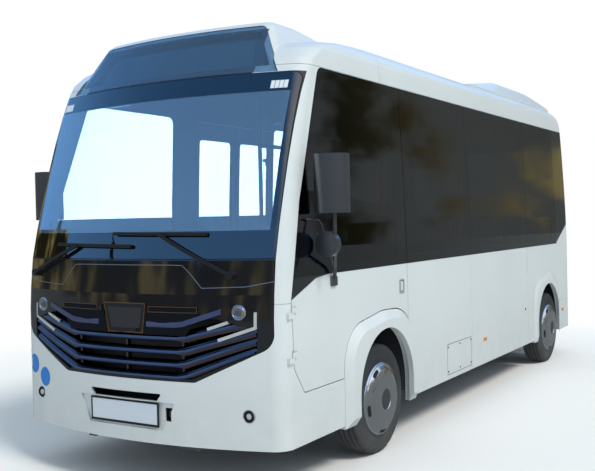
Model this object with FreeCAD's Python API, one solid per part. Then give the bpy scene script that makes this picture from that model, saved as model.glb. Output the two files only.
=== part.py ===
import FreeCAD, Part
import math
import os

os.makedirs("parts", exist_ok=True)
V = FreeCAD.Vector

# Low-floor city minibus. Millimetres, +Z up, front towards -Y, left side of the vehicle towards +X.
# The origin is on the ground, at the middle of the overall box.

# Body
length = 6600
half_width = 1060
skirt_z = 300
lean_z = 1050
belt_z = 1290
window_top_z = 2577
roof_z = 2822
roof_crown = 26
wall = 40
glass = 8
front_plan_radius = 3000
rear_plan_radius = 8000
front_face = -length / 2
rear_face = length / 2

# Clearances and seams
seam = 3
groove = 5
door_gap = 6
seat_gap = 0.3
shaft_gap = 0.05
hinge_offset = 6
hinge_radius = 5.8
pin_radius = 3.5
knuckle_length = 32
lamp_room_gap = 1

# Body outline at each height
# height, half width, front setback, rear setback, front corner, rear corner, share of the wall taken off the height
BODY_SECTIONS = (
    (1050, 1060, 0, 0, 120, 120, 0.0),
    (1400, 1057, 31, 2, 120, 120, 0.0),
    (1800, 1046, 132, 10, 120, 120, 0.0),
    (2200, 1027, 250, 22, 122, 120, 0.0),
    (2560, 1009, 388, 40, 130, 125, 0.0),
    (2660, 1004, 470, 60, 150, 140, 0.3),
    (2735, 990, 590, 100, 190, 170, 0.7),
    (2785, 955, 840, 170, 240, 220, 0.95),
    (2822, 890, 1250, 300, 300, 280, 1.0),
)

# Wheels and axles
front_axle_y = front_face + 1434
rear_axle_y = front_face + 5634
tyre_radius = 376.5
tyre_width = 205
tyre_outer_x = 1050
bead_radius = 222
cover_radius = 250
hub_radius = 62
shaft_radius = 30
kingpin_x = 790
kingpin_radius = 20

# Front wheel arch, from the axle: opening and flare outline
arch_half_width = 420
front_arch_shift = 35
arch_top_z = 866
flare_bottom_z = 275
flare_front = 531
flare_rear = 575
flare_top_z = 985
front_flare_proud = 40
rear_flare_proud = 12

# Driver's door
door_front = front_face + 275
door_rear = front_face + 1900
door_sill_z = 603
pillar_foot_z = 1148

# Entry doors, right side
entry_front = front_face + 2030
entry_rear = front_face + 3250
entry_top_z = 2500
entry_hole_top_z = 2345
entry_kick_z = 560

# Side panels
side_seam_mid = front_face + 3230
side_seam_rear = front_face + 4870
rear_joint = front_face + 6430
bumper_rear_z = 633
cap_joint = front_face + 1600
pillar_width = 90

# Cabin
floor_z = 375
floor_plate = 30
floor_clear = 6
podium_z = 620
podium_front = front_face + 4950
platform_z = 600


def box(x0, x1, y0, y1, z0, z1):
    """Box between two corners."""
    return Part.makeBox(x1 - x0, y1 - y0, z1 - z0, V(x0, y0, z0))


def rounded_wire(corners, place):
    """Closed outline of straight runs and tangent arcs. corners: u, v, corner radius"""
    ends = []
    count = len(corners)
    for i, (u, v, radius) in enumerate(corners):
        here = V(u, v, 0)
        before = V(*corners[i - 1][:2], 0) - here
        after = V(*corners[(i + 1) % count][:2], 0) - here
        before.normalize()
        after.normalize()
        if radius:
            half = before.getAngle(after) / 2
            cut = radius / math.tan(half)
            middle = before + after
            middle.normalize()
            ends.append((here + before * cut, here + middle * (radius / math.sin(half) - radius), here + after * cut))
        else:
            ends.append((here, None, here))
    edges = []
    for i, (start, middle, end) in enumerate(ends):
        if middle:
            edges.append(Part.Arc(place(start), place(middle), place(end)).toShape())
        following = ends[(i + 1) % count][0]
        if end.distanceToPoint(following) > 1e-6:
            edges.append(Part.LineSegment(place(end), place(following)).toShape())
    return Part.Wire(edges)


def side_prism(corners, x0, x1, shrink=0):
    """Outline in y, z carried along X."""
    face = Part.Face(rounded_wire(corners, lambda p: V(x0, p.x, p.y)))
    if shrink:
        face = face.makeOffset2D(-shrink)
    return face.extrude(V(x1 - x0, 0, 0))


def front_prism(corners, y0, y1, shrink=0):
    """Outline in x, z carried along Y."""
    face = Part.Face(rounded_wire(corners, lambda p: V(p.x, y0, p.y)))
    if shrink:
        face = face.makeOffset2D(-shrink)
    return face.extrude(V(0, y1 - y0, 0))


def plan_prism(corners, z0, z1):
    """Outline in x, y carried along Z."""
    return Part.Face(rounded_wire(corners, lambda p: V(p.x, p.y, z0))).extrude(V(0, 0, z1 - z0))


def rod(start, end, radius):
    """Round bar between two points."""
    return Part.makeCylinder(radius, start.distanceToPoint(end), start, end - start)


def bent_bar(points, radius, bend):
    """Round bar along straight runs joined by tangent arcs."""
    edges = []
    last = points[0]
    for before, here, after in zip(points, points[1:], points[2:]):
        back = (before - here).normalize()
        ahead = (after - here).normalize()
        half = back.getAngle(ahead) / 2
        cut = bend / math.tan(half)
        middle = (back + ahead).normalize()
        edges.append(Part.LineSegment(last, here + back * cut).toShape())
        arc = Part.Arc(here + back * cut, here + middle * (bend / math.sin(half) - bend), here + ahead * cut)
        edges.append(arc.toShape())
        last = here + ahead * cut
    edges.append(Part.LineSegment(last, points[-1]).toShape())
    ring = Part.Wire(Part.makeCircle(radius, points[0], points[1] - points[0]))
    return Part.Wire(edges).makePipeShell([ring], True, False)


def mirrored(shape):
    """The same shape on the other side of the vehicle."""
    return shape.mirror(V(0, 0, 0), V(1, 0, 0))


def hinge(point, axis, towards, inwards, plate, sink):
    """Pin hinge. Returns the fixed and the moving half, each with a plate sunk into its panel.

    point: middle of the hinge; towards: unit vector over the moving panel; inwards: unit vector into the body;
    plate: length of each plate; sink: depth of the plates below the pin"""
    half = axis * knuckle_length
    fixed = rod(point - half, point, hinge_radius).fuse(rod(point - half, point + half, pin_radius))
    moving = rod(point + axis * seat_gap, point + half, hinge_radius)
    moving = moving.cut(rod(point - half, point + half * 2, pin_radius + shaft_gap))

    def slab(low, reach0, reach1, depth0, depth1):
        corner = point + axis * low + towards * reach0 + inwards * depth0
        far = point + axis * (low + knuckle_length - seat_gap) + towards * reach1 + inwards * depth1
        return box(*[f(a, b) for a, b in zip(corner, far) for f in (min, max)])

    clear = hinge_offset - seat_gap
    past = pin_radius + shaft_gap
    fixed = fixed.multiFuse([slab(-knuckle_length, -plate, -door_gap, -4, sink),
                             slab(-knuckle_length, -door_gap - 1, 0, -4, clear)])
    hole = rod(point, point + half * 2, past)
    arm = slab(seat_gap, door_gap, plate, -4, sink).fuse(slab(seat_gap, 0, door_gap + 1, -4, clear))
    return fixed, moving.fuse(arm.cut(hole))


def save(name, *shapes):
    """One node, of one or more solids that do not touch."""
    solids = [solid for shape in shapes for solid in shape.Solids]
    shape = solids[0] if len(solids) == 1 else Part.makeCompound(solids)
    shape.exportStep("parts/" + name + ".step")


def eased_rows(rows, steps):
    """Rows on a smooth curve through the named ones. steps: how many to each interval"""
    last = len(rows) - 1
    eased = [rows[0]]
    for i in range(last):
        before, here, ahead, past = (rows[min(max(k, 0), last)] for k in (i - 1, i, i + 1, i + 2))
        for step in range(1, steps + 1):
            t = step / steps
            leave, arrive = 2 * t ** 3 - 3 * t ** 2 + 1, 3 * t ** 2 - 2 * t ** 3
            leave_slope, arrive_slope = t ** 3 - 2 * t ** 2 + t, t ** 3 - t ** 2
            eased.append(tuple(leave * q + leave_slope * (r - p) / 2 + arrive * r + arrive_slope * (s - q) / 2
                               for p, q, r, s in zip(before, here, ahead, past)))
    return eased


def corner_centre(half_w, face_y, plan_radius, corner, towards_rear):
    """Centre of a plan corner that is tangent to the side and to the curved end."""
    x = half_w - corner
    reach = math.sqrt((plan_radius - corner) ** 2 - x ** 2)
    return V(x, face_y - towards_rear * (plan_radius - reach), 0)


def plan_outline(z, half_w, front_y, rear_y, front_corner, rear_corner, inset=0, plan_radius=front_plan_radius):
    """Closed plan outline: curved front and rear ends, straight sides, round corners, set in by a wall."""
    front_mid = V(0, front_y + plan_radius, 0)
    rear_mid = V(0, rear_y - rear_plan_radius, 0)
    front_c = corner_centre(half_w, front_y, plan_radius, front_corner, -1)
    rear_c = corner_centre(half_w, rear_y, rear_plan_radius, rear_corner, 1)
    front_dir = (front_c - front_mid).normalize()
    rear_dir = (rear_c - rear_mid).normalize()
    front_tangent = front_mid + front_dir * (plan_radius - inset)
    rear_tangent = rear_mid + rear_dir * (rear_plan_radius - inset)
    front_bend = front_c + (front_dir + V(1, 0, 0)).normalize() * (front_corner - inset)
    rear_bend = rear_c + (rear_dir + V(1, 0, 0)).normalize() * (rear_corner - inset)
    side_front = V(half_w - inset, front_c.y, 0)
    side_rear = V(half_w - inset, rear_c.y, 0)

    def at(p, side=1):
        return V(side * p.x, p.y, z)

    edges = [
        Part.Arc(at(front_tangent, -1), V(0, front_y + inset, z), at(front_tangent)),
        Part.Arc(at(front_tangent), at(front_bend), at(side_front)),
        Part.LineSegment(at(side_front), at(side_rear)),
        Part.Arc(at(side_rear), at(rear_bend), at(rear_tangent)),
        Part.Arc(at(rear_tangent), V(0, rear_y - inset, z), at(rear_tangent, -1)),
        Part.Arc(at(rear_tangent, -1), at(rear_bend, -1), at(side_rear, -1)),
        Part.LineSegment(at(side_rear, -1), at(side_front, -1)),
        Part.Arc(at(side_front, -1), at(front_bend, -1), at(front_tangent, -1)),
    ]
    return Part.Wire([edge.toShape() for edge in edges])


def body_outline(section, inset):
    """Plan outline of one row of the body table, set in by a wall."""
    z, half_w, front, rear, front_corner, rear_corner, share = section
    across = inset * math.sqrt(1 - share ** 2)
    return plan_outline(z - inset * share, half_w, front_face + front, rear_face - rear,
                        front_corner, rear_corner, across)


body_rows = [row[:-1] + (min(max(row[-1], 0), 1),) for row in eased_rows(BODY_SECTIONS, 2)]


def hull(inset):
    """Whole body form, set in from the outer surface."""
    lowest = body_rows[0]
    foot = body_outline((skirt_z,) + lowest[1:], inset)
    lower = Part.Face(foot).extrude(V(0, 0, lean_z - skirt_z))
    upper = Part.makeLoft([body_outline(row, inset) for row in body_rows], True, True)
    return lower.fuse(upper)


outer = hull(0)
glass_back = hull(glass)
frame_face = hull(glass + seat_gap)
inner = hull(wall)
skin = outer.cut(inner)
glass_skin = outer.cut(glass_back)
frame_skin = frame_face.cut(inner)
cabin_space = hull(wall + floor_clear)
seated = hull(wall + seat_gap)
outer_clear = hull(-seat_gap)
groove_floor = hull(groove)
beyond = half_width + 100
side_inner = half_width - 180


def scored(panel, slot):
    """Panel with a shallow seam groove where the slot crosses its outer face."""
    return panel.cut(slot.cut(groove_floor))


def whole_length(z0, z1):
    """Box over the whole body between two heights."""
    return box(-beyond, beyond, front_face - 10, rear_face + 10, z0, z1)


def flare_outline(axle_y, front, rear):
    """Outline of a wheel-arch flare on the side of the body. Returns y, z, corner radius"""
    return (
        (axle_y - front, flare_bottom_z, 0),
        (axle_y - front, 905, 290),
        (axle_y + 30, flare_top_z, 480),
        (axle_y + rear, flare_top_z - 20, 360),
        (axle_y + rear, flare_bottom_z, 0),
    )


def arch_outline(axle_y, shift, grow=0):
    """Outline of a wheel-arch opening. Returns y, z, corner radius"""
    half = arch_half_width + grow
    return (
        (axle_y + shift - half, flare_bottom_z - 100, 0),
        (axle_y + shift - half, arch_top_z + grow, half - 1),
        (axle_y + shift + half, arch_top_z + grow, half - 1),
        (axle_y + shift + half, flare_bottom_z - 100, 0),
    )


rear_flare_front = 550
rear_flare_rear = 425
front_flare = flare_outline(front_axle_y, flare_front, flare_rear)
rear_flare = flare_outline(rear_axle_y, rear_flare_front, rear_flare_rear)


def arch_flare(outline, opening, opening_inside, proud):
    """Flare with the wall's thickness, rising to a proud lip round the wheel opening."""
    base = side_prism(outline, half_width - wall, half_width, 1)
    lip_narrowing = 60
    low = Part.Face(rounded_wire(outline, lambda p: V(half_width, p.x, p.y))).makeOffset2D(-1).OuterWire
    high = Part.Face(rounded_wire(outline, lambda p: V(half_width + proud, p.x, p.y)))
    high = high.makeOffset2D(-lip_narrowing).OuterWire
    ramp = Part.makeLoft([low, high], True, True)
    flare = base.fuse(ramp).removeSplitter()
    flare = flare.cut(side_prism(opening, half_width - wall - 5, beyond + 20))
    return flare.cut(side_prism(opening_inside, half_width - wall - 5, half_width))


# Driver's door outline, shared by the right side's fixed front panel. Columns: y, z, corner radius
DOOR_OUTLINE = (
    (front_face + 404, door_sill_z, 30),
    (front_face + 293, 758, 60),
    (door_front, 1161, 200),
    (front_face + 409, 1744, 0),
    (front_face + 524, 2046, 0),
    (front_face + 728, window_top_z, 70),
    (door_rear, window_top_z, 0),
    (door_rear, door_sill_z, 0),
)


# Foot of the side glass where it drops towards the front. Columns: distance from the front, height
BAND_FOOT = ((175, 1123), (571, 1274), (740, belt_z))

# Opening in the frame behind the front side window. Columns: y, z, corner radius
FRONT_WINDOW = (
    (front_face + 378, 1345, 50), (front_face + 468, 1744, 0), (front_face + 583, 2046, 0),
    (front_face + 757, 2507, 60), (front_face + 1760, 2507, 60), (front_face + 1760, 1345, 50),
)


def below_band(belt, lift):
    """Everything below the foot of a glass band."""
    if belt != belt_z:
        return whole_length(0, belt + lift)
    foot = [(front_face + at, z + lift, 0) for at, z in BAND_FOOT]
    ends = [(rear_face + 10, belt + lift, 0), (rear_face + 10, 0, 0), (front_face - 10, 0, 0),
            (front_face - 10, foot[0][1], 0)]
    return side_prism(foot + ends, -beyond, beyond)


def glazed_panel(region, belt, windows):
    """Wall panel: full thickness below the belt, pillars behind the glass above it."""
    lower = below_band(belt, -seam / 2)
    below = skin.common(region).common(lower)
    above = frame_skin.common(region).cut(lower)
    for window in windows:
        above = above.cut(window)
    return below.fuse(above).removeSplitter()


def pane(region, belt):
    """Flush glass above the belt."""
    return glass_skin.common(region).common(whole_length(0, window_top_z - seam)).cut(below_band(belt, seam / 2))


def window_hole(y0, y1, z0, z1, x0, x1, radius=60):
    """Hole through the pillars behind the glass."""
    return side_prism(((y0, z0, radius), (y0, z1, radius), (y1, z1, radius), (y1, z0, radius)), x0, x1)


def driver_door():
    """Driver's door with its flush glass."""
    region = side_prism(DOOR_OUTLINE, side_inner, beyond, door_gap)
    flare_room = side_prism(front_flare, side_inner - 10, beyond + 10)
    flare_room = flare_room.fuse(side_prism(flare_outline(front_axle_y, flare_front + door_gap,
                                 flare_rear + door_gap), side_inner - 10, beyond + 10).translated(V(0, 0, door_gap)))
    region = region.cut(flare_room)
    hinge_y = door_front + door_gap / 2
    swing = Part.makeCylinder(door_rear - door_gap - hinge_y, roof_z, V(half_width + hinge_offset, hinge_y, 0))
    region = region.common(swing)
    door = glazed_panel(region, belt_z, [side_prism(FRONT_WINDOW, side_inner, beyond)])
    save("driver_door", door.multiFuse([half[1] for half in door_hinges()]).removeSplitter())
    save("driver_door_glass", pane(region, belt_z))


# Heights of the driver's door hinges
DOOR_HINGES = (830, 1090)


def door_hinges():
    """Hinges of the driver's door, as fixed and moving halves."""
    return [hinge(V(half_width + hinge_offset, door_front + door_gap / 2, z), V(0, 0, 1), V(0, 1, 0), V(-1, 0, 0),
                  46, 20) for z in DOOR_HINGES]


def side_windows(y0, y1, sign):
    """Holes for the fixed side windows between two places."""
    x0, x1 = sorted((sign * side_inner, sign * beyond))
    return window_hole(y0 + pillar_width / 2, y1 - pillar_width / 2, belt_z + 50, window_top_z - 60, x0, x1)


# Rear edge of the side glass rises to the rear window. Columns: y, z, corner radius
SIDE_BAND_TAIL = (
    (front_face + 5965, belt_z, 0),
    (rear_joint - seam, belt_z + 205, 0),
)


def wall_region(sign, front):
    """Side wall outline between the front joint and the rear corner, with the wheel arches cut out."""
    x0, x1 = sorted((sign * side_inner, sign * beyond))
    outline = (
        (front, skirt_z, 0), (front, window_top_z, 0), (rear_joint, window_top_z, 0),
        (rear_joint, bumper_rear_z, 0), (rear_axle_y + rear_flare_rear, bumper_rear_z, 0),
        (rear_axle_y + rear_flare_rear, skirt_z, 0),
    )
    region = side_prism(outline, x0, x1)
    for flare in (front_flare, rear_flare):
        region = region.cut(side_prism(flare, x0 - 10, x1 + 10))
        lower = [(y, z - 200 if z == flare_bottom_z else z, r) for y, z, r in flare]
        region = region.cut(side_prism(lower, x0 - 10, x1 + 10))
    return region


def tail_panel(sign):
    """Body-coloured wedge under the rising rear edge of the side glass."""
    x0, x1 = sorted((sign * side_inner, sign * beyond))
    (y0, z0, _), (y1, z1, _) = SIDE_BAND_TAIL
    return side_prism(((y0, z0 - 40, 0), (y0, z0, 0), (y1, z1, 0), (rear_joint, z1 + 1, 0),
                       (rear_joint, z0 - 40, 0)), x0, x1)


def side_wall(sign):
    """Side wall: lower panels with their seams, and the window pillars."""
    front = door_rear if sign > 0 else door_front
    region = wall_region(sign, front)
    tail = tail_panel(sign)
    x0, x1 = sorted((sign * side_inner, sign * beyond))
    windows = [side_windows(side_seam_mid, side_seam_rear, sign),
               side_windows(side_seam_rear, rear_joint - 430, sign)]
    if sign > 0:
        windows.append(side_windows(door_rear, side_seam_mid, sign))
    wall_body = glazed_panel(region, belt_z, windows).fuse(skin.common(tail)).removeSplitter()
    glazing = pane(region, belt_z).cut(tail.fuse(tail.translated(V(0, 0, seam))))
    if sign < 0:
        opposite = side_prism(DOOR_OUTLINE, x0, x1)
        ahead = box(x0, x1, front_face, door_rear, door_sill_z, window_top_z)
        wall_body = wall_body.cut(ahead.cut(opposite))
        wall_body = wall_body.cut(box(x0, x1, front_face, front_axle_y - flare_front, 0, door_sill_z + seam))
        glazing = glazing.cut(ahead.cut(opposite))
        doorway = box(x0, x1, entry_front, entry_rear, 0, entry_top_z)
        wall_body = wall_body.cut(doorway)
        glazing = glazing.cut(doorway)
        wall_body = wall_body.cut(side_prism(FRONT_WINDOW, x0, x1).common(glass_back))
        for hinge_y in (entry_front + door_gap / 2, entry_rear - door_gap / 2):
            wall_body = wall_body.multiFuse([half[0] for half in entry_hinges(hinge_y)]).removeSplitter()
            glazing = glazing.cut(box(x0, x1, hinge_y - 52, hinge_y + 52, ENTRY_HINGES[1] - knuckle_length - 3,
                                      ENTRY_HINGES[1] + 3))
    splits = [side_seam_rear] if sign < 0 else [side_seam_mid, side_seam_rear]
    slots = [box(x0, x1, y - seam / 2, y + seam / 2, 0, roof_z) for y in splits]
    glazing = glazing.cut(slots[0].multiFuse(slots[1:]) if len(slots) > 1 else slots[0])
    edge = box(x0, x1, rear_joint - seam, rear_joint, 0, SIDE_BAND_TAIL[1][1] + 10)
    wall_body = scored(wall_body, edge.multiFuse([slot.common(whole_length(0, belt_z)) for slot in slots]))
    return wall_body, glazing


def entry_leaf(name, y0, y1, hinge_y):
    """Entry door leaf: kick panel below, bonded glass over a slim frame above."""
    x0, x1 = -beyond, -side_inner
    reach = max(abs(y0 - hinge_y), abs(y1 - hinge_y))
    region = box(x0, x1, y0, y1, skirt_z, entry_top_z - door_gap)
    region = region.common(Part.makeCylinder(reach, roof_z, V(-half_width - hinge_offset, hinge_y, 0)))
    rail = 55
    hole = window_hole(y0 + rail, y1 - rail, entry_kick_z + rail, entry_hole_top_z, x0, x1, 40)
    halves = entry_hinges(hinge_y)
    leaf = glazed_panel(region, entry_kick_z, [hole]).multiFuse([half[1] for half in halves]).removeSplitter()
    room = [box(x0, x1, hinge_y - 52, hinge_y + 52, z - 3, z + knuckle_length + 3) for z in ENTRY_HINGES]
    save(name, leaf)
    save(name + "_glass", pane(region, entry_kick_z).cut(room[0].fuse(room[1])))


# Heights of the entry doors' hinges
ENTRY_HINGES = (1040, 2200)


def entry_hinges(hinge_y):
    """Hinges of one entry leaf, as fixed and moving halves."""
    towards = 1 if hinge_y < (entry_front + entry_rear) / 2 else -1
    return [hinge(V(-half_width - hinge_offset, hinge_y, z), V(0, 0, 1), V(0, towards, 0), V(1, 0, 0),
                  46, 60 if z > belt_z else 20) for z in ENTRY_HINGES]


def entry_doors():
    """Two leaves that meet in the middle of the doorway."""
    middle = (entry_front + entry_rear) / 2
    half_gap = door_gap / 2
    entry_leaf("entry_door_front", entry_front + door_gap, middle - half_gap, entry_front + half_gap)
    entry_leaf("entry_door_rear", middle + half_gap, entry_rear - door_gap, entry_rear - half_gap)


# Front mask, windscreen and sign outlines seen from ahead. Columns: x, z, corner radius
glass_half = 1004
mask_top_z = 1408
MASK_OUTLINE = (
    (-glass_half, mask_top_z, 0), (-glass_half, 905, 110), (-522, 682, 60),
    (522, 682, 60), (glass_half, 905, 110), (glass_half, mask_top_z, 0),
)
WINDSCREEN_OUTLINE = (
    (-glass_half, mask_top_z, 0), (glass_half, mask_top_z, 0), (998, 2534, 55), (-998, 2534, 55),
)
SCREEN_HOLE = ((-958, 1576, 45), (958, 1576, 45), (950, 2412, 40), (-950, 2412, 40))
SIGN_OUTLINE = ((-858, 2537, 0), (858, 2537, 0), (672, 2868, 60), (-672, 2868, 60))
mask_depth = 14
flange = 42

# Front pod sections: height, half width, front setback, corner
POD_SECTIONS = (
    (2470, 900, 338, 60),
    (2868, 706, 592, 60),
    (2896, 680, 632, 60),
    (2912, 640, 700, 60),
)
pod_rear = front_face + 1500


def pod_form(inset):
    """Front roof pod that carries the sign, set in by a wall."""
    lowest, highest = POD_SECTIONS[0][0], POD_SECTIONS[-1][0]
    wires = []
    for z, half_w, front, corner in POD_SECTIONS:
        drop = inset * (z - lowest) / (highest - lowest)
        wires.append(plan_outline(z - drop, half_w, front_face + front, pod_rear, corner, corner, inset))
    pod = Part.makeLoft(wires, True, True)
    slope = side_prism(((front_face + 760, 2925 - inset, 0), (front_face + 1000, 2890 - inset, 0),
                        (pod_rear + 50, 2790 - inset, 0), (pod_rear + 50, 3100, 0),
                        (front_face + 760, 3100, 0)), -beyond, beyond)
    return pod.cut(slope)


def front_cap():
    """Pillars, front roof edge and roof pod in one moulding, with the glass bonded in front of its flanges."""
    outline = (
        (front_face - 50, pillar_foot_z, 0), (door_front, pillar_foot_z, 0), (door_front, 1161, 0),
        (front_face + 409, 1744, 0), (front_face + 524, 2046, 0), (front_face + 728, window_top_z, 70),
        (cap_joint, window_top_z, 0), (cap_joint, roof_z + 300, 0), (front_face - 50, roof_z + 300, 0),
    )
    ahead, screen_depth, sign_depth = front_face - 10, front_face + 700, front_face + 780
    cap = skin.common(side_prism(outline, -beyond, beyond))
    pod_outer = pod_form(0)
    pod_back = pod_form(glass)
    cap = cap.fuse(pod_outer.cut(pod_form(wall)).cut(inner)).removeSplitter()
    cap = cap.cut(front_prism(MASK_OUTLINE, ahead, front_face + 400))
    cap = cap.cut(front_prism(WINDSCREEN_OUTLINE, ahead, screen_depth).cut(frame_face))
    cap = cap.cut(front_prism(SCREEN_HOLE, ahead, screen_depth))
    cap = cap.cut(front_prism(SIGN_OUTLINE, ahead, sign_depth).cut(pod_form(glass + seat_gap)))
    cap = cap.cut(front_prism(SIGN_OUTLINE, ahead, sign_depth, flange))
    ledge = box(-beyond, beyond, front_face - 10, cap_joint, window_top_z, window_top_z + seam)
    save("front_cap", scored(cap, ledge))
    sign = pod_outer.cut(pod_back).common(front_prism(SIGN_OUTLINE, ahead, sign_depth, seam))
    screen = glass_skin.common(front_prism(WINDSCREEN_OUTLINE, ahead, screen_depth, seam))
    save("windscreen", screen)
    save("sign_glass", sign)


def front_bumper():
    """Lower front panel with air slot, plate recess, tow-eye hole and fog-lamp holes."""
    outline = (
        (front_face - 50, skirt_z, 0), (front_axle_y - flare_front - seam, skirt_z, 0),
        (front_axle_y - flare_front - seam, door_sill_z, 0), (front_face + 404, door_sill_z, 30),
        (front_face + 293, 758, 60), (door_front, pillar_foot_z, 0), (front_face - 50, pillar_foot_z, 0),
    )
    bumper = skin.common(side_prism(outline, -beyond, beyond))
    bumper = scored(bumper, box(-beyond, beyond, front_face - 10, door_front, pillar_foot_z - seam, pillar_foot_z))
    bumper = bumper.cut(front_prism(MASK_OUTLINE, front_face - 10, front_face + 260))
    slot = ((-292, 602, 8), (292, 602, 8), (255, 556, 8), (-255, 556, 8))
    bumper = bumper.cut(front_prism(slot, front_face - 10, front_face + 100))
    bumper = bumper.cut(box(308, 358, front_face - 10, front_face + 100, 440, 520))
    recess = ((-386, 552, 10), (386, 552, 10), (300, 385, 10), (-300, 385, 10))
    bumper = bumper.cut(front_prism(recess, front_face - 10, front_face + 100).cut(hull(12)))
    for side in (-1, 1):
        lamp = Part.makeCylinder(fog_radius + seat_gap, 300, V(side * fog_x, front_face, fog_z), V(0, 1, 0))
        bumper = bumper.cut(lamp)
        screw = Part.makeCylinder(plate_hole_radius, 100, V(side * plate_hole_x, front_face - 10, plate_z), V(0, 1, 0))
        bumper = bumper.cut(screw)
    axis_y = door_front + door_gap / 2
    for z in DOOR_HINGES:
        bumper = bumper.cut(box(half_width - 20 - door_gap, beyond, axis_y, axis_y + 30,
                                z - door_gap, z + knuckle_length + door_gap))
    bumper = bumper.multiFuse([half[0] for half in door_hinges()])
    save("front_bumper", bumper.removeSplitter())


# Lamps
fog_x = 851
fog_z = 500
fog_radius = 38
headlamp_x = 799
headlamp_z = 1099
headlamp_radius = 46
lamp_depth = 32
plate_hole_radius = 3
plate_hole_x = 240
plate_z = 476
tow_x = 333
tow_z = 477
tow_radius = 13.5
tow_depth = 80

# Running lights seen from ahead, left side. Columns: x, z
RUNNING_LIGHT = ((889, 1104), (909, 1104), (909, 1006), (676, 926), (670, 944), (889, 1020))
RUNNING_BAR = ((606, 1008), (738, 1052), (742, 1034), (610, 990))


def square_corners(points):
    """Corners with no rounding."""
    return [(u, v, 0) for u, v in points]


def front_surface_y(x, z, depth=0):
    """Place on the front of the body at x, z, set back by a depth."""
    setback = 0
    for low, high in zip(body_rows, body_rows[1:]):
        if low[0] <= z <= high[0]:
            setback = low[2] + (high[2] - low[2]) * (z - low[0]) / (high[0] - low[0])
    radius = front_plan_radius - depth
    return front_face + setback + front_plan_radius - math.sqrt(radius ** 2 - x ** 2)


# Grille louvres: height in the middle, end of the sweep (x, height)
LOUVRES = (
    (1022, 735, 1118),
    (938, 860, 1042),
    (857, 900, 988),
    (780, 900, 937),
    (704, 895, 880),
)
louvre_bend_x = 430
louvre_depth = 46

# Louvre section from its nose: depth, height
LOUVRE_SECTION = ((0, -4), (4, 8), (44, 26), (46, 20), (12, -12))
WING_SECTION = ((0, -4), (4, 8), (44, 44), (46, 38), (12, -12))
GRILLE_OPENING = (
    (-505, 700, 40), (505, 700, 40), (905, 868, 20), (912, 1000, 20), (655, 1062, 20), (500, 1066, 20),
    (120, 962, 20), (-120, 962, 20), (-500, 1066, 20), (-655, 1062, 20), (-912, 1000, 20), (-905, 868, 20),
)


# Recesses in the mask. Columns: x, z, corner radius
BADGE_RECESS = ((-180, 1130, 15), (180, 1130, 15), (140, 968, 15), (-140, 968, 15))
badge_depth = 10
UPPER_SLOT = ((203, 1131, 12), (552, 1131, 12), (552, 1089, 12), (203, 1089, 12))
slot_depth = 8


def front_mask():
    """Gloss panel between bumper and windscreen, with the grille, badge and lamp openings."""
    mask_skin = outer.cut(hull(mask_depth))
    mask = mask_skin.common(front_prism(MASK_OUTLINE, front_face - 10, front_face + 400, seat_gap))
    rim = front_prism(MASK_OUTLINE, front_face - 10, front_face + 400)
    rim = rim.cut(front_prism(MASK_OUTLINE, front_face - 20, front_face + 410, seam + seat_gap))
    mask = scored(mask, rim)
    mask = mask.cut(front_prism(GRILLE_OPENING, front_face - 10, front_face + 400))
    mask = mask.cut(front_prism(BADGE_RECESS, front_face - 10, front_face + 100).cut(hull(badge_depth)))
    slot_floor = hull(slot_depth)
    for side in (-1, 1):
        slot = [(side * x, z, radius) for x, z, radius in UPPER_SLOT]
        mask = mask.cut(front_prism(slot, front_face - 10, front_face + 400).cut(slot_floor))
        lamp = Part.makeCylinder(headlamp_radius + seat_gap, 400, V(side * headlamp_x, front_face, headlamp_z), V(0, 1, 0))
        mask = mask.cut(lamp)
        for points in (RUNNING_LIGHT, RUNNING_BAR):
            turned = [(side * x, z) for x, z in points]
            mask = mask.cut(front_prism(square_corners(turned), front_face - 10, front_face + 400))
    save("front_mask", mask)


def grille_louvres():
    """Five louvres, flat in the middle, swept up and steeper at the sides, on three upright ribs."""
    bars = []
    for middle_z, end_x, end_z in LOUVRES:
        stations = [0, louvre_bend_x / 2, louvre_bend_x - 30, louvre_bend_x + 30, (louvre_bend_x + end_x) / 2,
                    end_x + 60]
        wires = []
        for x in [-x for x in reversed(stations[1:])] + stations:
            rise = max(0, abs(x) - louvre_bend_x) / (end_x - louvre_bend_x)
            z = middle_z + rise * (end_z - middle_z)
            nose = front_surface_y(x, 0, 4)
            section = WING_SECTION if abs(x) > louvre_bend_x else LOUVRE_SECTION
            points = [V(x, nose + depth, z + height) for depth, height in section]
            wires.append(Part.makePolygon(points + points[:1]))
        bars.append(Part.makeLoft(wires, True, True))
    opening = front_prism(GRILLE_OPENING, front_face - 10, front_face + 400, seat_gap)
    grille = bars[0].multiFuse(bars[1:]).common(opening)
    ribs = []
    for x in (-420, 0, 420):
        back = front_surface_y(x, 0, 4) + louvre_depth - 6
        ribs.append(box(x - 8, x + 8, back, back + 30, 716, 950 if x == 0 else 1040))
    grille = grille.multiFuse(ribs)
    lamp_room = [front_prism(square_corners([(side * x, z) for x, z in points]), front_face - 10, front_face + 400,
                             -lamp_room_gap) for side in (-1, 1) for points in (RUNNING_LIGHT, RUNNING_BAR)]
    lamp_room = lamp_room[0].multiFuse(lamp_room[1:]).cut(hull(mask_depth + lamp_room_gap))
    save("grille_louvres", grille.cut(lamp_room).removeSplitter())


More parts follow.
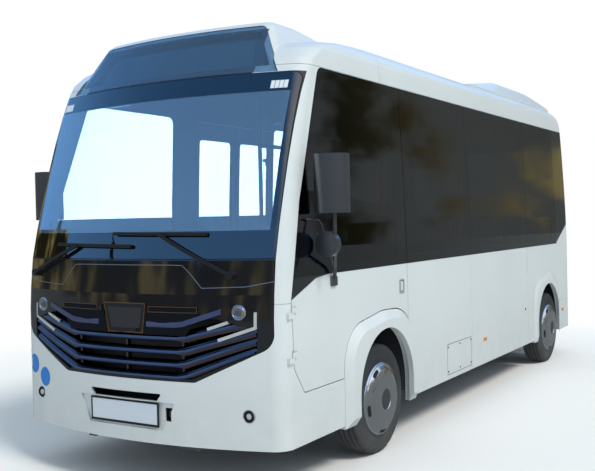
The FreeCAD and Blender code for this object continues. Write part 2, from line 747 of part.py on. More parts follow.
def front_lamps():
    """Headlamps, running lights and fog lamps."""
    lamps = []
    face_skin = hull(2).cut(hull(mask_depth))
    for side in (-1, 1):
        head_y = front_surface_y(headlamp_x, 0) + 2
        lamps.append(Part.makeCylinder(headlamp_radius, lamp_depth, V(side * headlamp_x, head_y, headlamp_z), V(0, 1, 0)))
        fog_y = front_surface_y(fog_x, 0) + 2
        lamps.append(Part.makeCylinder(fog_radius, lamp_depth, V(side * fog_x, fog_y, fog_z), V(0, 1, 0)))
        for points in (RUNNING_LIGHT, RUNNING_BAR):
            turned = [(side * x, z) for x, z in points]
            lamps.append(face_skin.common(front_prism(square_corners(turned), front_face - 10, front_face + 400, seat_gap)))
    save("front_lamps", *lamps)


# Rear end. Columns: x, z, corner radius
REAR_WINDOW = ((-960, 1500, 60), (960, 1500, 60), (960, 2450, 60), (-960, 2450, 60))
hatch_half = 690
hatch_bottom_z = 660
hatch_top_z = 1400
REAR_LAMP = ((800, 820, 30), (925, 820, 30), (925, 1240, 30), (800, 1240, 30))
rear_lamp_depth = 20


def rear_end():
    """Rear wall with its wrap-round window, engine hatch, lamps and bumper."""
    rear_band_z = SIDE_BAND_TAIL[1][1] + 3
    region = box(-beyond, beyond, rear_joint, rear_face + 50, bumper_rear_z, window_top_z)
    hole = front_prism(REAR_WINDOW, rear_face - 400, rear_face + 10, 60)
    rear_wall = glazed_panel(region, rear_band_z, [hole])
    hatch_outline = ((-hatch_half, hatch_bottom_z, 40), (hatch_half, hatch_bottom_z, 40),
                     (hatch_half, hatch_top_z, 0), (-hatch_half, hatch_top_z, 0))
    rear_wall = rear_wall.cut(front_prism(hatch_outline, rear_face - 300, rear_face + 10))
    hinge_z = hatch_top_z - door_gap / 2
    reach = hinge_z - hatch_bottom_z - door_gap
    swing = Part.makeCylinder(reach, 2 * beyond, V(-beyond, rear_face + hinge_offset, hinge_z), V(1, 0, 0))
    hatch = skin.common(front_prism(hatch_outline, rear_face - 300, rear_face + 10, door_gap)).common(swing)
    lamps = []
    lamp_skin = hull(1).cut(hull(rear_lamp_depth))
    for side in (-1, 1):
        shape = [(side * x, z, r) for x, z, r in REAR_LAMP]
        room = front_prism(shape, rear_face - 300, rear_face + 10)
        rear_wall = rear_wall.cut(room.cut(hull(rear_lamp_depth + seat_gap)))
        lamps.append(lamp_skin.common(front_prism(shape, rear_face - 300, rear_face + 10, seat_gap)))
    for x in (-450, 450):
        fixed, moving = hinge(V(x, rear_face + hinge_offset, hinge_z), V(1, 0, 0), V(0, 0, -1), V(0, -1, 0), 46, 40)
        rear_wall = rear_wall.fuse(fixed)
        hatch = hatch.fuse(moving)
    rear_wall = rear_wall.removeSplitter()
    hatch = hatch.removeSplitter()
    save("rear_wall", rear_wall)
    save("rear_hatch", hatch)
    save("rear_lamps", *lamps)
    glass_region = box(-beyond, beyond, rear_joint + seam, rear_face + 50, bumper_rear_z, window_top_z)
    save("rear_window", pane(glass_region, rear_band_z))
    bumper_region = box(-beyond, beyond, rear_axle_y + rear_flare_rear + seam, rear_face + 50, skirt_z, bumper_rear_z)
    save("rear_bumper", scored(skin.common(bumper_region), whole_length(bumper_rear_z - seam, bumper_rear_z)))


# Rear pod side view: distance from the front, height
POD_LINE = ((3820, 2860), (4300, 2925), (4700, 2980), (5200, 3010), (5740, 3000), (6190, 2938), (6480, 2872))
rear_pod_half = 850
crown_half = 850
crown_rear = rear_face - 500


def roof_crown_form(lift=0):
    """Shallow crown of the roof between its two pods."""
    radius = (crown_half ** 2 + roof_crown ** 2) / (2 * roof_crown)
    top = roof_z + roof_crown
    crown = Part.makeCylinder(radius + lift, crown_rear - cap_joint, V(0, cap_joint, top - radius), V(0, 1, 0))
    return crown.common(box(-crown_half, crown_half, cap_joint, crown_rear, roof_z - wall / 2, top + wall))


def roof():
    """Roof panel with its crown."""
    panel = skin.common(box(-beyond, beyond, cap_joint, rear_face + 50, window_top_z, roof_z + 10))
    panel = panel.fuse(roof_crown_form()).removeSplitter()
    ledge = box(-beyond, beyond, cap_joint, rear_face + 10, window_top_z, window_top_z + seam)
    cross = box(-beyond, beyond, cap_joint, cap_joint + seam, window_top_z, roof_z - 12)
    save("roof_panel", scored(panel, ledge.fuse(cross)))


def rear_roof_pod():
    """Closed fairing over the roof equipment."""
    points = [V(0, front_face + at, z) for at, z in POD_LINE]
    arcs = [Part.Arc(*points[i:i + 3]).toShape() for i in (0, 2, 4)]
    foot_z = window_top_z + 100
    start = V(0, front_face + 3740, foot_z)
    end = V(0, rear_face - 40, foot_z)
    loop = [Part.LineSegment(start, points[0]).toShape()] + arcs
    loop += [Part.LineSegment(points[-1], end).toShape(), Part.LineSegment(end, start).toShape()]
    pod = Part.Face(Part.Wire(loop)).extrude(V(rear_pod_half, 0, 0))
    pod = pod.fuse(mirrored(pod)).removeSplitter()
    across = ((-rear_pod_half, foot_z, 0), (rear_pod_half, foot_z, 0), (rear_pod_half, 2862, 20),
              (rear_pod_half - 110, 3012, 90), (-rear_pod_half + 110, 3012, 90), (-rear_pod_half, 2862, 20))
    pod = pod.common(front_prism(across, front_face + 3600, rear_face))
    save("rear_roof_pod", pod.cut(outer_clear).cut(roof_crown_form(seat_gap)))


def flares():
    """Four wheel-arch flares."""
    pieces = []
    for outline, axle_y, shift, proud in ((front_flare, front_axle_y, front_arch_shift, front_flare_proud),
                                          (rear_flare, rear_axle_y, -10, rear_flare_proud)):
        flare = arch_flare(outline, arch_outline(axle_y, shift), arch_outline(axle_y, shift, 18), proud)
        pieces += [flare, mirrored(flare)]
    save("arch_flares", *pieces)


# Tyre section from the wheel's middle: radius, offset along the axle
TYRE_SECTION = (
    (bead_radius, -84), (300, -102.5), (358, -88), (tyre_radius, -56),
    (tyre_radius, 56), (358, 88), (300, 102.5), (bead_radius, 84),
)

# Hand holes round the edge of the wheel cover
hand_holes = 5
hand_hole_start = -24
hand_hole_radius = 210


def turned(profile, x, y, z, sign):
    """Solid of revolution about the wheel's axle. profile: radius, offset outwards"""
    points = [V(x + sign * offset, y, z + radius) for radius, offset in profile]
    face = Part.Face(Part.makePolygon(points + points[:1]))
    return face.revolve(V(x, y, z), V(1, 0, 0), 360)


def wheel(name, sign, axle_y):
    """Tyre, and rim with its domed cover and rectangular hand holes."""
    x = sign * (tyre_outer_x - tyre_width / 2)
    save(name + "_tyre", turned(TYRE_SECTION, x, axle_y, tyre_radius, sign))
    bead = bead_radius - seat_gap
    rim = (
        (shaft_radius + shaft_gap, -60), (hub_radius, -60), (hub_radius, 10), (190, 34), (190, -90),
        (bead, -90), (bead, 86), (cover_radius, 104), (cover_radius - 6, 110), (215, 112), (170, 104),
        (0, 98), (0, 40), (shaft_radius + shaft_gap, 40),
    )
    body = turned(rim, x, axle_y, tyre_radius, sign)
    slots = []
    for i in range(hand_holes):
        slot = box(*sorted((88 * sign, 130 * sign)), -32, 32, hand_hole_radius - 11, hand_hole_radius + 11)
        slot.translate(V(x, axle_y, tyre_radius))
        slot.rotate(V(x, axle_y, tyre_radius), V(1, 0, 0), hand_hole_start + 360 / hand_holes * i)
        slots.append(slot)
    body = body.cut(slots[0].multiFuse(slots[1:]))
    save(name + "_rim", body)


def knuckle(name, sign):
    """Kingpin sleeve with the stub shaft that carries the front wheel."""
    x = sign * kingpin_x
    z = tyre_radius
    sleeve = Part.makeCylinder(44, 120, V(x, front_axle_y, z - 60))
    end = sign * (tyre_outer_x - tyre_width / 2 + 38)
    shaft = rod(V(x, front_axle_y, z), V(end, front_axle_y, z), shaft_radius)
    arm = box(min(x, x - sign * 30), max(x, x - sign * 30), front_axle_y + 30, front_axle_y + 190, z - 50, z - 20)
    pin_hole = Part.makeCylinder(kingpin_radius + shaft_gap, 400, V(x, front_axle_y, z - 200))
    save(name, sleeve.multiFuse([shaft, arm]).cut(pin_hole).removeSplitter())


def leaf_spring(x, y, z0, z1):
    """Leaf spring along a rail, with a hanger at each end. z0: underside of the leaves, z1: rail's underside"""
    half = 440
    leaves = box(x - 28, x + 28, y - half, y + half, z0, z0 + 14)
    clamp = box(x - 34, x + 34, y - 60, y + 60, z0 - 10, z1)
    return [leaves, clamp] + [box(x - 28, x + 28, y + at - 25, y + at + 25, z0, z1) for at in (-half, half)]


def axles():
    """Dropped front beam with kingpins, rear axle tube with differential, and leaf springs."""
    z = tyre_radius
    ends = []
    for sign in (-1, 1):
        x = sign * kingpin_x
        ends.append(Part.makeCylinder(kingpin_radius, 200, V(x, front_axle_y, z - 100)))
        for low, high in ((z - 95, z - 61), (z + 61, z + 95)):
            ends.append(Part.makeCylinder(42, high - low, V(x, front_axle_y, low)))
            ends.append(box(min(x, sign * 690), max(x, sign * 690), front_axle_y - 30, front_axle_y + 30, low, high))
        ends.append(box(min(sign * 660, sign * 720), max(sign * 660, sign * 720), front_axle_y - 30,
                        front_axle_y + 30, 165, z + 95))
        ends += leaf_spring(sign * rail_x, front_axle_y, 214, rail_bottom_z)
    beam = box(-700, 700, front_axle_y - 35, front_axle_y + 35, 165, 215)
    save("front_axle", beam.multiFuse(ends).removeSplitter())
    shaft_end = tyre_outer_x - tyre_width / 2 + 38
    casing = (
        (0, -shaft_end), (shaft_radius, -shaft_end), (shaft_radius, -780), (52, -780), (60, -190), (150, -90),
        (150, 90), (60, 190), (52, 780), (shaft_radius, 780), (shaft_radius, shaft_end), (0, shaft_end),
    )
    springs = []
    for sign in (-1, 1):
        springs += leaf_spring(sign * rail_x, rear_axle_y, z + 48, tail_rail_z)
    save("rear_axle", turned(casing, 0, rear_axle_y, z, 1).multiFuse(springs).removeSplitter())


# Chassis
rail_x = 430
rail_width = 60
rail_bottom_z = 240
rail_top_z = floor_z - floor_plate
tail_rail_z = 472
CROSS_MEMBERS = (700, 2150, 3400, 4500)
JACK_PADS = (-2600, 1200)
jack_pad = 10


def chassis():
    """Two rails that kick up over the rear axle, cross members, front beam and the rear power unit."""
    kick = podium_front + floor_plate + seat_gap
    high_bottom = tail_rail_z
    high_top = podium_z - floor_plate
    rail_line = (
        (front_face + 160, rail_bottom_z, 0), (kick + 40, rail_bottom_z, 0), (kick + 160, high_bottom, 0),
        (rear_face - 120, high_bottom, 0), (rear_face - 120, high_top, 0), (kick, high_top, 0),
        (kick, rail_top_z, 0), (front_face + 160, rail_top_z, 0),
    )
    rails = [side_prism(rail_line, side * rail_x - rail_width / 2, side * rail_x + rail_width / 2) for side in (-1, 1)]
    cross = []
    for at in CROSS_MEMBERS:
        member = box(-beyond, beyond, front_face + at - 40, front_face + at + 40, rail_bottom_z + 30, rail_top_z)
        near_door = at < 3300
        cross.append(member.common(cabin_space if near_door else seated))
    front_beam = box(-700, 700, front_face, front_face + 230, rail_bottom_z + 80, rail_top_z).common(seated)
    tail_beam = box(-900, 900, rear_face - 200, rear_face, high_bottom, high_top).common(seated)
    tow_tube = Part.makeCylinder(2 * tow_radius, 180, V(tow_x, front_face + 60, tow_z), V(0, 1, 0))
    tow_bracket = box(tow_x - 30, rail_x + 10, front_face + 170, front_face + 238, rail_bottom_z, tow_z + 30)
    tow_hole = Part.makeCylinder(tow_radius, tow_depth, V(tow_x, front_face + 60, tow_z), V(0, 1, 0))
    pads = [box(side * rail_x - 40, side * rail_x + 40, y - 40, y + 40, rail_bottom_z - jack_pad, rail_bottom_z)
            for side in (-1, 1) for y in JACK_PADS]
    pieces = [rails[1], front_beam, tail_beam, tow_tube.common(seated), tow_bracket] + cross + pads
    save("chassis_frame", rails[0].multiFuse(pieces).cut(tow_hole).removeSplitter())
    inside = rail_x - rail_width / 2 - seat_gap
    unit = box(-inside, inside, bay_front - 350, rear_face - 215, 300, podium_z - floor_plate - seat_gap)
    save("power_unit", unit)


bay_front = rear_face - 430
bay_top_z = 1450
wheel_box_top = 900
wheel_box_half = 478
box_wall = 12


def wheel_room(axle_y, inner_x, sign):
    """Box over one wheel, open below and outwards, and the block it takes from the floor."""
    z0, near, wide = floor_z - floor_plate, wheel_box_half, inner_x + box_wall
    x0, x1 = sorted((sign * inner_x, sign * beyond))
    block = box(x0, x1, axle_y - near, axle_y + near, z0, wheel_box_top)
    taken = box(x0 - seat_gap, x1 + seat_gap, axle_y - near - seat_gap, axle_y + near + seat_gap, z0 - 1, wheel_box_top)
    x0, x1 = sorted((sign * wide, sign * beyond))
    room = box(x0, x1, axle_y - near + box_wall, axle_y + near - box_wall, 0, wheel_box_top - box_wall)
    return block.cut(room), taken


def cabin_floor():
    """Low floor, driver's platform, rear podium, bulkheads and the boxes over the wheels."""
    front = front_face + 240
    behind = front + box_wall + seat_gap
    platform_end = front_axle_y - wheel_box_half
    low = box(-beyond, beyond, behind, podium_front - seat_gap, floor_z - floor_plate, floor_z)
    riser = box(-beyond, beyond, podium_front, podium_front + floor_plate, floor_z - floor_plate, podium_z)
    podium = box(-beyond, beyond, podium_front, bay_front, podium_z - floor_plate, podium_z)
    platform = box(-60, beyond, behind, platform_end, floor_z + seat_gap, platform_z)
    platform = platform.fuse(box(-60, 560, platform_end - 1, door_rear - 150, floor_z + seat_gap, platform_z))
    cab_front = box(-beyond, beyond, front, front + box_wall, floor_z - floor_plate, dashboard_foot_z - seat_gap)
    bulkhead = box(-beyond, beyond, bay_front - box_wall, bay_front, podium_z + seat_gap, bay_top_z - box_wall - seat_gap)
    shelf = box(-beyond, beyond, bay_front - box_wall, rear_face, bay_top_z - box_wall, bay_top_z)
    plates = [low, riser.fuse(podium), platform, cab_front, bulkhead, shelf]
    axle_room = box(-beyond, beyond, rear_axle_y - 120, rear_axle_y + 120, 0, 500)
    boxes = []
    for axle_y, inner_x in ((front_axle_y, 545), (rear_axle_y, 660)):
        for sign in (-1, 1):
            wheel_box, taken = wheel_room(axle_y, inner_x, sign)
            boxes.append(wheel_box.cut(axle_room))
            plates = [plate.cut(taken) for plate in plates]
    save("cabin_floor", *[shape.common(cabin_space).removeSplitter() for shape in plates + boxes])


driver_x = 430
steering_y = front_face + 830
steering_z = 1330
steering_tilt = 55
dashboard_foot_z = 900


def dashboard():
    """Instrument shelf across the cab, and the steering wheel on its column."""
    profile = (
        (front_face + 255, dashboard_foot_z, 0), (front_face + 215, 1190, 0), (front_face + 90, 1300, 0),
        (front_face + 420, 1330, 40), (front_face + 600, 1240, 60), (front_face + 560, dashboard_foot_z, 0),
    )
    shelf = side_prism(profile, -beyond, beyond).common(hull(wall + floor_clear + 2))
    leg = box(-60, 60, front_face + 300, front_face + 500, platform_z, 900)
    leg = leg.fuse(box(-60, 300, front_face + 330, front_face + 470, platform_z, 905))
    save("dashboard", shelf.fuse(leg).removeSplitter())
    hub = V(driver_x, steering_y, steering_z)
    tilt = V(0, math.cos(math.radians(steering_tilt)), math.sin(math.radians(steering_tilt)))
    section = [V(215 + 15 * math.cos(math.radians(a)), 0, 15 * math.sin(math.radians(a))) for a in range(0, 360, 60)]
    ring = Part.Face(Part.makePolygon(section + section[:1])).revolve(V(0, 0, 0), V(0, 0, 1), 360)
    ring.Placement = FreeCAD.Placement(hub, FreeCAD.Rotation(V(0, 0, 1), tilt))
    boss = Part.makeCylinder(48, 46, hub - tilt * 46, tilt)
    spokes = []
    for angle in (90, 210, 330):
        out = V(math.cos(math.radians(angle)), 0, 0)
        up = V(0, -tilt.z, tilt.y) * math.sin(math.radians(angle))
        spokes.append(rod(hub - tilt * 20, hub + (out + up) * 212, 11))
    column = rod(hub - tilt * 40, hub - tilt * 450, 26)
    column = column.cut(side_prism(profile, -beyond, beyond, -seat_gap))
    save("steering_wheel", ring.multiFuse([boss, column.Solids[0]] + spokes).removeSplitter())


def seat(x, y, z, width, floor):
    """Moulded seat: cushion, back and pedestal. x, y, z: middle of the cushion's front edge, at its top"""
    profile = (
        (y, z - 70, 20), (y, z, 25), (y + 400, z - 20, 30), (y + 500, z + 560, 25), (y + 550, z + 560, 25),
        (y + 470, z - 70, 30),
    )
    shell = side_prism(profile, x - width / 2, x + width / 2)
    leg = box(x - 60, x + 60, y + 130, y + 330, floor, z - 60)
    return shell.fuse(leg).removeSplitter()


# Passenger seats: x, distance from the front, floor height, cushion height
SEATS = (
    (800, 2250, floor_z, 825), (392, 2250, floor_z, 825),
    (800, 3050, floor_z, 825), (392, 3050, floor_z, 825),
    (800, 3850, floor_z, 825), (392, 3850, floor_z, 825),
    (-800, 3850, floor_z, 825),
    (-430, 5000, podium_z, 1070), (430, 5000, podium_z, 1070),
    (-800, 5600, wheel_box_top, 1070), (-392, 5600, podium_z, 1070),
    (392, 5600, podium_z, 1070), (800, 5600, wheel_box_top, 1070),
)
seat_width = 400


def seats():
    """Driver's seat and passenger seats."""
    save("driver_seat", seat(driver_x, front_face + 1130, 1080, 500, platform_z))
    rows = [seat(x, front_face + at, top, seat_width, floor) for x, at, floor, top in SEATS]
    save("passenger_seats", *rows)


def partition():
    """Screen behind the driver."""
    outline = ((40, floor_z, 0), (960, floor_z, 0), (960, 1700, 80), (40, 1900, 80))
    back = front_axle_y + wheel_box_half + seat_gap
    panel = front_prism(outline, back, back + 20)
    save("driver_partition", panel)


# Handrail posts: x, distance from the front, floor height
POSTS = ((-330, 2060, floor_z), (-330, 3330, floor_z), (330, 2980, floor_z), (330, 4880, floor_z),
         (-330, 4880, floor_z))
rail_height = 2250
post_radius = 17


def handrails():
    """Upright posts with an overhead rail along each side of the aisle."""
    ceiling = roof_z - wall
    posts = [rod(V(x, front_face + at, floor), V(x, front_face + at, ceiling), post_radius) for x, at, floor in POSTS]
    left = rod(V(330, front_face + 2980, rail_height), V(330, front_face + 4880, rail_height), post_radius)
    right = rod(V(-330, front_face + 2060, rail_height), V(-330, front_face + 4880, rail_height), post_radius)
    save("handrails", posts[0].multiFuse([posts[1], posts[4], right]), posts[2].multiFuse([posts[3], left]))


mirror_x = 1190
mirror_y = front_face + 560
mirror_low_z = 1665
mirror_high_z = 2015


def door_mirror():
    """Half-round mirror housing on a bent arm, with a small round mirror below."""
    half = 110
    shell = Part.makeCylinder(half, mirror_high_z - mirror_low_z, V(mirror_x, mirror_y, mirror_low_z))
    shell = shell.common(box(mirror_x - half, mirror_x + half, mirror_y - half, mirror_y + 20,
                             mirror_low_z, mirror_high_z))
    arm = bent_bar([V(mirror_x + 10, mirror_y, mirror_low_z + 20), V(mirror_x + 10, mirror_y, 1480),
                    V(1095, front_face + 740, 1330), V(1075, front_face + 770, 1270), V(1060, front_face + 775, 1240)],
                   12, 30)
    foot = box(half_width - 20, half_width + 14, front_face + 740, front_face + 810, 1210, 1270)
    small = Part.makeCylinder(78, 45, V(1150, mirror_y - 20, 1478), V(0, 1, 0))
    bridge = rod(V(1150, mirror_y, 1478), V(mirror_x + 10, mirror_y, 1510), 10)
    return shell.multiFuse([arm, foot, small, bridge]).cut(outer_clear).removeSplitter()


# Wipers: pivot, elbow of the arm, blade ends, as x, z on the windscreen
WIPERS = (
    ((760, 1318), (260, 1562), (-90, 1566), (590, 1556)),
    ((-900, 1310), (-420, 1494), (-640, 1500), (60, 1488)),
)


def glass_point(x, z, out):
    """Point a little ahead of the windscreen."""
    return V(x, front_surface_y(x, z) - out, z)


def bowed_bar(start, middle, end, thick, tall):
    """Flat-sided bar along an arc through three points."""
    wires = []
    for place in Part.Arc(start, middle, end).toShape().discretize(7):
        corners = [place + V(0, y * thick / 2, z * tall / 2) for y, z in ((-1, -1), (1, -1), (1, 1), (-1, 1))]
        wires.append(Part.makePolygon(corners + corners[:1]))
    return Part.makeLoft(wires, True, True)


def wipers():
    """Two wiper arms with their blades, lying along the foot of the windscreen."""
    pieces = []
    for (px, pz), (ex, ez), (sx, sz), (fx, fz) in WIPERS:
        hub = Part.makeCylinder(24, 60, glass_point(px, pz, 36), V(0, 1, 0))
        arm = bowed_bar(glass_point(px, pz, 26), glass_point((px + ex) / 2, (pz + ez) / 2, 34),
                        glass_point(ex, ez, 24), 16, 22)
        blade = bowed_bar(glass_point(sx, sz, 18), glass_point((sx + fx) / 2, (sz + fz) / 2, 18),
                          glass_point(fx, fz, 18), 20, 20)
        pieces.append(hub.multiFuse([arm, blade]).cut(outer_clear).removeSplitter())
    save("wipers", *pieces)


driver_door()
left_wall, left_glass = side_wall(1)
right_wall, right_glass = side_wall(-1)
save("left_side_wall", left_wall)
save("left_side_glass", left_glass)
save("right_side_wall", right_wall)
save("right_side_glass", right_glass)
entry_doors()
front_cap()
front_bumper()
front_mask()
grille_louvres()
front_lamps()
rear_end()
roof()
rear_roof_pod()
flares()
for wheel_name, wheel_side, wheel_y in (("front_left", 1, front_axle_y), ("front_right", -1, front_axle_y),
                                        ("rear_left", 1, rear_axle_y), ("rear_right", -1, rear_axle_y)):
    wheel(wheel_name, wheel_side, wheel_y)
knuckle("left_knuckle", 1)
knuckle("right_knuckle", -1)
axles()
chassis()
cabin_floor()
dashboard()
seats()
partition()
handrails()
save("left_mirror", door_mirror())
save("right_mirror", mirrored(door_mirror()))
wipers()
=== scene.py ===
from math import atan2, cos, pi, radians, sin, sqrt
import bmesh
import bpy
from mathutils import Matrix, Vector
from mathutils.bvhtree import BVHTree


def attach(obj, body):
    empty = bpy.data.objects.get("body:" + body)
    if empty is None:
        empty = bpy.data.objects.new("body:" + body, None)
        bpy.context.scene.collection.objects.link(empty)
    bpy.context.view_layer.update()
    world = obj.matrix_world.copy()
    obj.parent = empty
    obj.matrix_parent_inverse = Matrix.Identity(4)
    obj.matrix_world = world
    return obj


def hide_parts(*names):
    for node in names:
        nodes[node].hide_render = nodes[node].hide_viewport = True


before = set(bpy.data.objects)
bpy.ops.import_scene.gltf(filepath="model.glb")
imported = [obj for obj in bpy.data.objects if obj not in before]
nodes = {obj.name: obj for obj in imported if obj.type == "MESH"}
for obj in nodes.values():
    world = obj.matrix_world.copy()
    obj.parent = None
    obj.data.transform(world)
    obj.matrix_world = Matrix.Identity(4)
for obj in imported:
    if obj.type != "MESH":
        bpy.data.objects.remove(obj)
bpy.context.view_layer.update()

frontY = -3.3  # front face of the bus, which looks towards -Y
sides = ((1, "left"), (-1, "right"))
wheels = {"radius": 0.3765, "track": 0.9475, "axles": (("front", 1.434), ("rear", 5.634))}


def along(distance):  # place along the bus, from a distance behind the front face
    return frontY + distance


# Small tools for shader nodes
def feed(socket, value):  # a constant or the output of another node; colours are given without alpha
    if isinstance(value, bpy.types.NodeSocket):
        socket.id_data.links.new(value, socket)
    else:
        socket.default_value = (*value, 1) if socket.type == "RGBA" else value


def setInputs(node, **values):  # names with a capital letter are sockets, the others are the node's settings
    for key, value in values.items():
        if key[0].isupper():
            feed(node.inputs[key.replace("_", " ")], value)
        else:
            setattr(node, key, value)
    return node


def addNode(tree, kind, **values):
    return setInputs(tree.nodes.new("ShaderNode" + kind), **values)


def feedInOrder(node, *values):
    for socket, value in zip(node.inputs, values):
        feed(socket, value)
    return node.outputs


def mathNode(tree, operation, a, b, clamp=False):
    return feedInOrder(addNode(tree, "Math", operation=operation, use_clamp=clamp), a, b)[0]


def times(tree, a, b, clamp=False):
    return mathNode(tree, "MULTIPLY", a, b, clamp)


def above(tree, a, b):
    return mathNode(tree, "GREATER_THAN", a, b)


def below(tree, a, b):
    return mathNode(tree, "LESS_THAN", a, b)


def vectorNode(tree, operation, *values):
    return feedInOrder(addNode(tree, "VectorMath", operation=operation), *values)


def mix(tree, factor, a, b):
    node = addNode(tree, "Mix", data_type="RGBA")
    for number, value in ((0, factor), (6, a), (7, b)):
        feed(node.inputs[number], value)
    return node.outputs[2]


def ramp(tree, value, low, high, kind="SMOOTHSTEP", **ends):
    node = addNode(tree, "MapRange", interpolation_type=kind, Value=value, From_Min=low, From_Max=high,
                   **ends)
    return node.outputs[0]


def objectPlace(tree, kind="Object"):
    return addNode(tree, "TexCoord").outputs[kind]


def splitAxes(tree, vector):
    return addNode(tree, "SeparateXYZ", Vector=vector).outputs


def scaled(colour, share):
    return tuple(c * share for c in colour)


# Node groups shared by the materials
def newGroup(name, inputs, outputs):
    group = bpy.data.node_groups.new(name, "ShaderNodeTree")
    for label, value in inputs.items():
        kind = "NodeSocketVector" if isinstance(value, tuple) else "NodeSocketFloat"
        group.interface.new_socket(label, in_out="INPUT", socket_type=kind).default_value = value
    for label in outputs:
        group.interface.new_socket(label, in_out="OUTPUT", socket_type="NodeSocketFloat")
    return group, group.nodes.new("NodeGroupInput").outputs, group.nodes.new("NodeGroupOutput")


def useGroup(tree, group, **values):
    return addNode(tree, "Group", node_tree=group, **values).outputs


# Fine relief and a gentle change of colour and roughness over a surface
def makeGrainGroup():
    group, source, result = newGroup("surfaceGrain", {"Scale": 40, "Detail": 3, "Contrast": 0.2},
                                     ("Height", "Mask"))
    place = objectPlace(group)
    fine = addNode(group, "TexNoise", Vector=place, Scale=source["Scale"], Detail=source["Detail"])
    broad = addNode(group, "TexNoise", Vector=place, Scale=1.7, Detail=2)
    spread = times(group, mathNode(group, "SUBTRACT", broad.outputs[0], 0.5), source["Contrast"])
    setInputs(result, Height=fine.outputs[0], Mask=mathNode(group, "ADD", spread, 0.5, True))
    return group


# Road dust: strongest near the ground, broken up by noise
def makeDustGroup():
    group, source, result = newGroup("roadDust", {"Low": 0.25, "High": 1.2, "Amount": 0.3}, ("Mask",))
    place = objectPlace(group)
    fall = ramp(group, splitAxes(group, place)["Z"], source["High"], source["Low"])
    noise = addNode(group, "TexNoise", Vector=place, Scale=6, Detail=5, Roughness=0.6)
    broken = times(group, fall, noise.outputs[0])
    setInputs(result, Mask=times(group, broken, source["Amount"], True))
    return group


# Mask that is 1 inside a box given by its low and high corners
def makeInsideGroup():
    group, source, result = newGroup("insideBox", {"Low": (0, 0, 0), "High": (1, 1, 1)}, ("Mask",))
    here, low, high = (splitAxes(group, v) for v in (objectPlace(group), source["Low"], source["High"]))
    within = [times(group, above(group, here[k], low[k]), below(group, here[k], high[k])) for k in "XYZ"]
    setInputs(result, Mask=times(group, times(group, *within[:2]), within[2]))
    return group


# Woven cloth: fine crossing threads with flecks
def makeWeaveGroup():
    group, source, result = newGroup("clothWeave", {"Threads": 900, "Fleck": 0.5}, ("Height", "Mask"))
    place = objectPlace(group)
    waves = [addNode(group, "TexWave", bands_direction=axis, Vector=place,
                     Scale=source["Threads"]).outputs["Fac"] for axis in "XY"]
    fleck = addNode(group, "TexNoise", Vector=place, Scale=160, Detail=1)
    setInputs(result, Height=times(group, *waves), Mask=times(group, fleck.outputs[0], source["Fleck"], True))
    return group


# Mask of the faces that look into the cabin
def makeLiningGroup():
    group, source, result = newGroup("cabinFacing", {"Centre": (0, 0, 1.6)}, ("Mask",))
    place = addNode(group, "TexCoord").outputs
    inward = vectorNode(group, "SUBTRACT", source["Centre"], place["Object"])[0]
    inward = vectorNode(group, "NORMALIZE", vectorNode(group, "MULTIPLY", inward, (1, 0.2, 1))[0])[0]
    facing = vectorNode(group, "DOT_PRODUCT", inward, place["Normal"])["Value"]
    setInputs(result, Mask=above(group, facing, 0.25))
    return group


# Mask within a radius about an axle that runs along X
def makeRingGroup():
    group, source, result = newGroup("axleRing", {"Centre": (0, 0, 0), "Outer": 0.1}, ("Mask",))
    offset = vectorNode(group, "SUBTRACT", objectPlace(group), source["Centre"])[0]
    radius = vectorNode(group, "LENGTH", vectorNode(group, "MULTIPLY", offset, (0, 1, 1))[0])["Value"]
    setInputs(result, Mask=below(group, radius, source["Outer"]))
    return group


liningGroup = makeLiningGroup()
ringGroup = makeRingGroup()
grainGroup = makeGrainGroup()
dustGroup = makeDustGroup()
insideGroup = makeInsideGroup()
weaveGroup = makeWeaveGroup()


# Materials
made = {}  # by name


def newMaterial(name):
    made[name] = material = bpy.data.materials.new(name)
    material.use_nodes = True
    return material.node_tree, material.node_tree.nodes["Principled BSDF"]


# Starts a material: its tree, shader, base colour mixed over the grain, and the grain's relief
def grainedMaterial(name, scale, detail, contrast, darker, paler):
    tree, shader = newMaterial(name)
    grain = useGroup(tree, grainGroup, Scale=scale, Detail=detail, Contrast=contrast)
    return tree, shader, mix(tree, grain["Mask"], darker, paler), grain["Height"]


def addBump(tree, shader, height, strength, distance):
    setInputs(shader, Normal=addNode(tree, "Bump", Height=height, Strength=strength,
                                     Distance=distance).outputs[0])


def inBox(tree, low, high):
    return useGroup(tree, insideGroup, Low=low, High=high)["Mask"]


paintLook = {"colour": (0.70, 0.74, 0.74), "shade": (0.64, 0.69, 0.70), "rough": 0.3, "coat": 0.35,
             "coatRough": 0.06, "dust": (0.30, 0.29, 0.27), "dustFrom": 0.2, "dustTo": 1.1, "dustRough": 0.5,
             "band": (0.012, 0.013, 0.016),  # fired black under the glass
             "ceiling": (0.30, 0.34, 0.38), "wall": (0.24, 0.29, 0.34), "liningFrom": 2.3, "liningTo": 2.6,
             "liningRough": 0.7, "cabinCentre": (0, 0, 1.6)}


